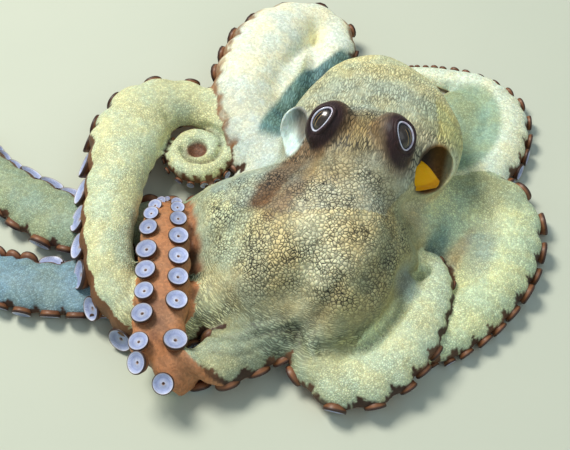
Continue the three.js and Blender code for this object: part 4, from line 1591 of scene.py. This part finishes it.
# %% Model the eyes
RING_SPREAD = -0.1
RING_TUBE = 0.5
RING_RISE = 0.35
SLIT_SPAN = 4.0


def eyeball(name, eye):
    ball = add_primitive(name + "_ball", bpy.ops.mesh.primitive_uv_sphere_add,
                         segments=96, ring_count=64, radius=1)
    unit = points_of(ball) * MM
    set_points(ball, unit * EYE_RADIUS @ eye["axes"] + eye["centre"])
    slit = np.column_stack([unit[:, :2] * EYE_RADIUS / eye["slit"], unit[:, 2]])
    store(ball, "slit", slit / SLIT_SPAN + 0.5)
    shade_round(ball)
    return ball


eyeballs = {name: eyeball(name, eye) for name, eye in EYES.items()}
eye_rings = {name: oval_tube(name + "_ring", eye, RING_SPREAD, RING_RISE, RING_TUBE)
             for name, eye in EYES.items()}
for ring in eye_rings.values():
    shade_round(ring)
print("eyes made:", list(eyeballs))

# %% [markdown]
# ## The eyes' finish
# The pattern is all formulas on the two slit coordinates. The pupil is the band near a
# curve, the gold lies a little beside that band, and the streaks are noise stretched along
# the slit. The pale rings get clouds of lilac.

# %% Eye materials
PUPIL_SIDE = {"eye_right": 1, "eye_left": -1}
PUPIL_BOW = 0.35
PUPIL_OUT = 0.42
GOLD_OUT = 0.22
IRIS = ((0.012, 0.009, 0.008, 1), (0.075, 0.052, 0.040, 1))
IRIS_RIM = (0.006, 0.005, 0.008, 1)
GOLD = (0.42, 0.26, 0.10, 1)
PUPIL = (0.002, 0.002, 0.003, 1)
RING_PALE, RING_LILAC = (0.78, 0.82, 0.95, 1), (0.52, 0.42, 0.55, 1)


def eye_finish(name, side):
    eye = Graph(name + "_finish")
    slit = eye.add("ShaderNodeSeparateXYZ", {0: eye.read("slit").outputs["Vector"]}).outputs
    along = eye.times(eye.math("SUBTRACT", slit[0], 0.5), SLIT_SPAN)
    across = eye.times(eye.math("SUBTRACT", slit[1], 0.5), SLIT_SPAN * side)
    along_squared = eye.times(along, along)
    reach = eye.math("SQRT", eye.math("ADD", along_squared, eye.times(across, across)))
    bow = eye.math("ADD", across, eye.times(along_squared, PUPIL_BOW))
    off_bar = eye.math("ABSOLUTE", eye.math("SUBTRACT", bow, PUPIL_OUT))
    ends = eye.spread(eye.math("ABSOLUTE", eye.math("ADD", along, 0.12)), 0.62, 0.48)
    bar = eye.times(eye.spread(off_bar, 0.17, 0.12), ends)
    off_gold = eye.math("ABSOLUTE", eye.math("SUBTRACT", off_bar, GOLD_OUT))
    gold = eye.times(eye.spread(off_gold, 0.06, 0.02), ends, 0.85)
    streaks = eye.add("ShaderNodeCombineXYZ", {0: eye.times(along, 1.2), 1: eye.times(across, 7.0)})
    iris = eye.blend(eye.cloud(streaks.outputs[0], 3.0, 0.3, 0.7, detail=4, rough=0.6), *IRIS)
    colour = eye.blend(eye.spread(reach, 0.66, 0.86), iris, IRIS_RIM)
    colour = eye.blend(gold, colour, GOLD)
    colour = eye.blend(bar, colour, PUPIL)
    eye.fill(eye.shader, {"Base Color": colour, "Roughness": 0.22, "Coat Weight": 0.5,
                          "Coat Roughness": 0.06})
    return eye.material


pale = Graph("eye_ring_finish")
pale.fill(pale.shader, {
    "Base Color": pale.blend(pale.cloud(pale.place(), 260, 0.35, 0.7), RING_PALE, RING_LILAC),
    "Roughness": 0.3, "Coat Weight": 0.3, "Coat Roughness": 0.1,
})
for name, ball in eyeballs.items():
    ball.data.materials.append(eye_finish(name, PUPIL_SIDE[name]))
    eye_rings[name].data.materials.append(pale.material)
print("eyes finished")

# %% [markdown]
# ## The funnel
# The funnel is a soft orange nozzle beside the left eye. It starts as a disc, and each step
# raises its cap and narrows it to the lip. The last steps turn inwards and make its bore.
# It is then pressed flatter, creased along its length, and laid in its place.

# %% Funnel
FUNNEL_FROM = np.array([23.5, 32.5, 46.0])
FUNNEL_TO = np.array([38.5, 35.0, 39.5])
FUNNEL_BASE = 9.0
FUNNEL_FLATNESS = 0.8
CREASE_AT = 1.9
CREASE_WIDTH = 0.28
CREASE_DEPTH = 0.14
FUNNEL_STEPS = [(0.14, 0.98), (0.14, 0.95), (0.14, 0.91), (0.14, 0.86), (0.14, 0.8), (0.13, 0.74),
                (0.1, 0.74), (0.06, 0.8), (0.02, 0.86), (-0.05, 0.8), (-0.3, 0.75)]

funnel = turned_cup("funnel", 48, FUNNEL_STEPS)
shape = points_of(funnel) * MM
round_angle = np.arctan2(shape[:, 1], shape[:, 0])
groove = np.exp(-(((round_angle - CREASE_AT) / CREASE_WIDTH) ** 2)) * smoothstep(shape[:, 2], 0.0, 0.4)
shape[:, :2] *= (1 - CREASE_DEPTH * groove)[:, None]
aim = Vector(FUNNEL_TO - FUNNEL_FROM)
funnel_length = aim.length
aim.normalize()
upright = Vector((0, 0.25, 1))
upright = (upright - aim * aim.dot(upright)).normalized()
thick = FUNNEL_BASE / CUP_FOOT
scale = np.array([thick, thick * FUNNEL_FLATNESS, funnel_length / shape[:, 2].max()])
set_points(funnel, shape * scale @ np.array([upright, aim.cross(upright), aim]) + FUNNEL_FROM)
shade_round(funnel)
print("funnel is", round(funnel_length), "mm long")

# %% [markdown]
# ## The funnel's finish
# Thin amber flesh lets some light through, so it has more subsurface scattering than the
# skin. Clouds of a deeper orange keep it from looking like wax, and a paler top is a painted
# highlight where the light falls on it.

# %% Funnel material
AMBER, AMBER_DEEP, AMBER_HIGHLIGHT = (0.90, 0.40, 0.004, 1), (0.76, 0.29, 0.003, 1), (0.96, 0.46, 0.006, 1)
HIGHLIGHT_ABOVE = (0.0440, 0.0452)
amber = Graph("funnel_skin_finish")
place = amber.place()
low_colour = amber.blend(amber.cloud(place, 210, 0.3, 0.7, detail=4, rough=0.6), AMBER, AMBER_DEEP)
# The funnel's top is painted paler, a painted highlight.
top = amber.spread(amber.add("ShaderNodeSeparateXYZ", {0: place}).outputs[2], *HIGHLIGHT_ABOVE)
amber.fill(amber.shader, {
    "Base Color": amber.blend(top, low_colour, AMBER_HIGHLIGHT),
    "Normal": amber.bump(amber.noise(place, 700, 3).outputs["Fac"], 0.0002, 0.5),
    "Roughness": 0.42, "Subsurface Weight": 0.25, "Subsurface Radius": (1.0, 0.5, 0.1),
    "Subsurface Scale": 0.003, "Specular IOR Level": 0.12,
})
funnel.data.materials.append(amber.material)
print("funnel finished")

# %% [markdown]
# ## Riding and replacing
# Every piece rides on the one body of this still model. The skin stands for all the flesh
# of the solids, and the eyeballs and the funnel for theirs.

# %% Frame calls
flesh = [name for name in frame["nodes"] if name not in ("eye_right", "eye_left", "funnel")]
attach(skin, "root")
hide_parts(*flesh)
for name, ball in eyeballs.items():
    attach(ball, "root")
    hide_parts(name)
    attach(eye_rings[name], "root")
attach(funnel, "root")
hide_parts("funnel")
for piece in sucker_pieces.values():
    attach(piece, "root")

# %% [markdown]
# ## Floor and light
# The floor is one wide pale plane. A large soft lamp at the animal's right and behind gives
# the light and shade of shallow water, a weaker one fills from its left, and a faint
# blue-green sky lights the shadows.

# %% Floor, lamps and sky
FLOOR_TONES = ((0.60, 0.64, 0.52, 1), (0.66, 0.68, 0.56, 1))
floor = add_primitive("floor", bpy.ops.mesh.primitive_plane_add, size=6)
ground = Graph("floor_finish")
ground.fill(ground.shader, {
    "Base Color": ground.blend(ground.noise(ground.place(), 9, 3).outputs["Fac"], *FLOOR_TONES),
    "Roughness": 0.9,
})
floor.data.materials.append(ground.material)


def lamp(name, place, power, size, colour):
    bpy.ops.object.light_add(type="AREA", location=place)
    made = bpy.context.object
    made.name = name
    made.data.energy = power
    made.data.size = size
    made.data.color = colour
    made.rotation_euler = (-Vector(place)).to_track_quat("-Z", "Y").to_euler()


lamp("key", (-0.75, 0.25, 1.25), 19, 0.5, (1.0, 0.97, 0.90))
lamp("fill", (0.9, -0.6, 1.1), 3, 1.2, (0.92, 0.97, 1.0))
sky = bpy.data.worlds.new("sky")
bpy.context.scene.world = sky
sky.use_nodes = True
glow = sky.node_tree.nodes["Background"].inputs
glow["Color"].default_value = (0.72, 0.9, 1.0, 1)
glow["Strength"].default_value = 0.34
bpy.context.scene.view_settings.view_transform = "Standard"
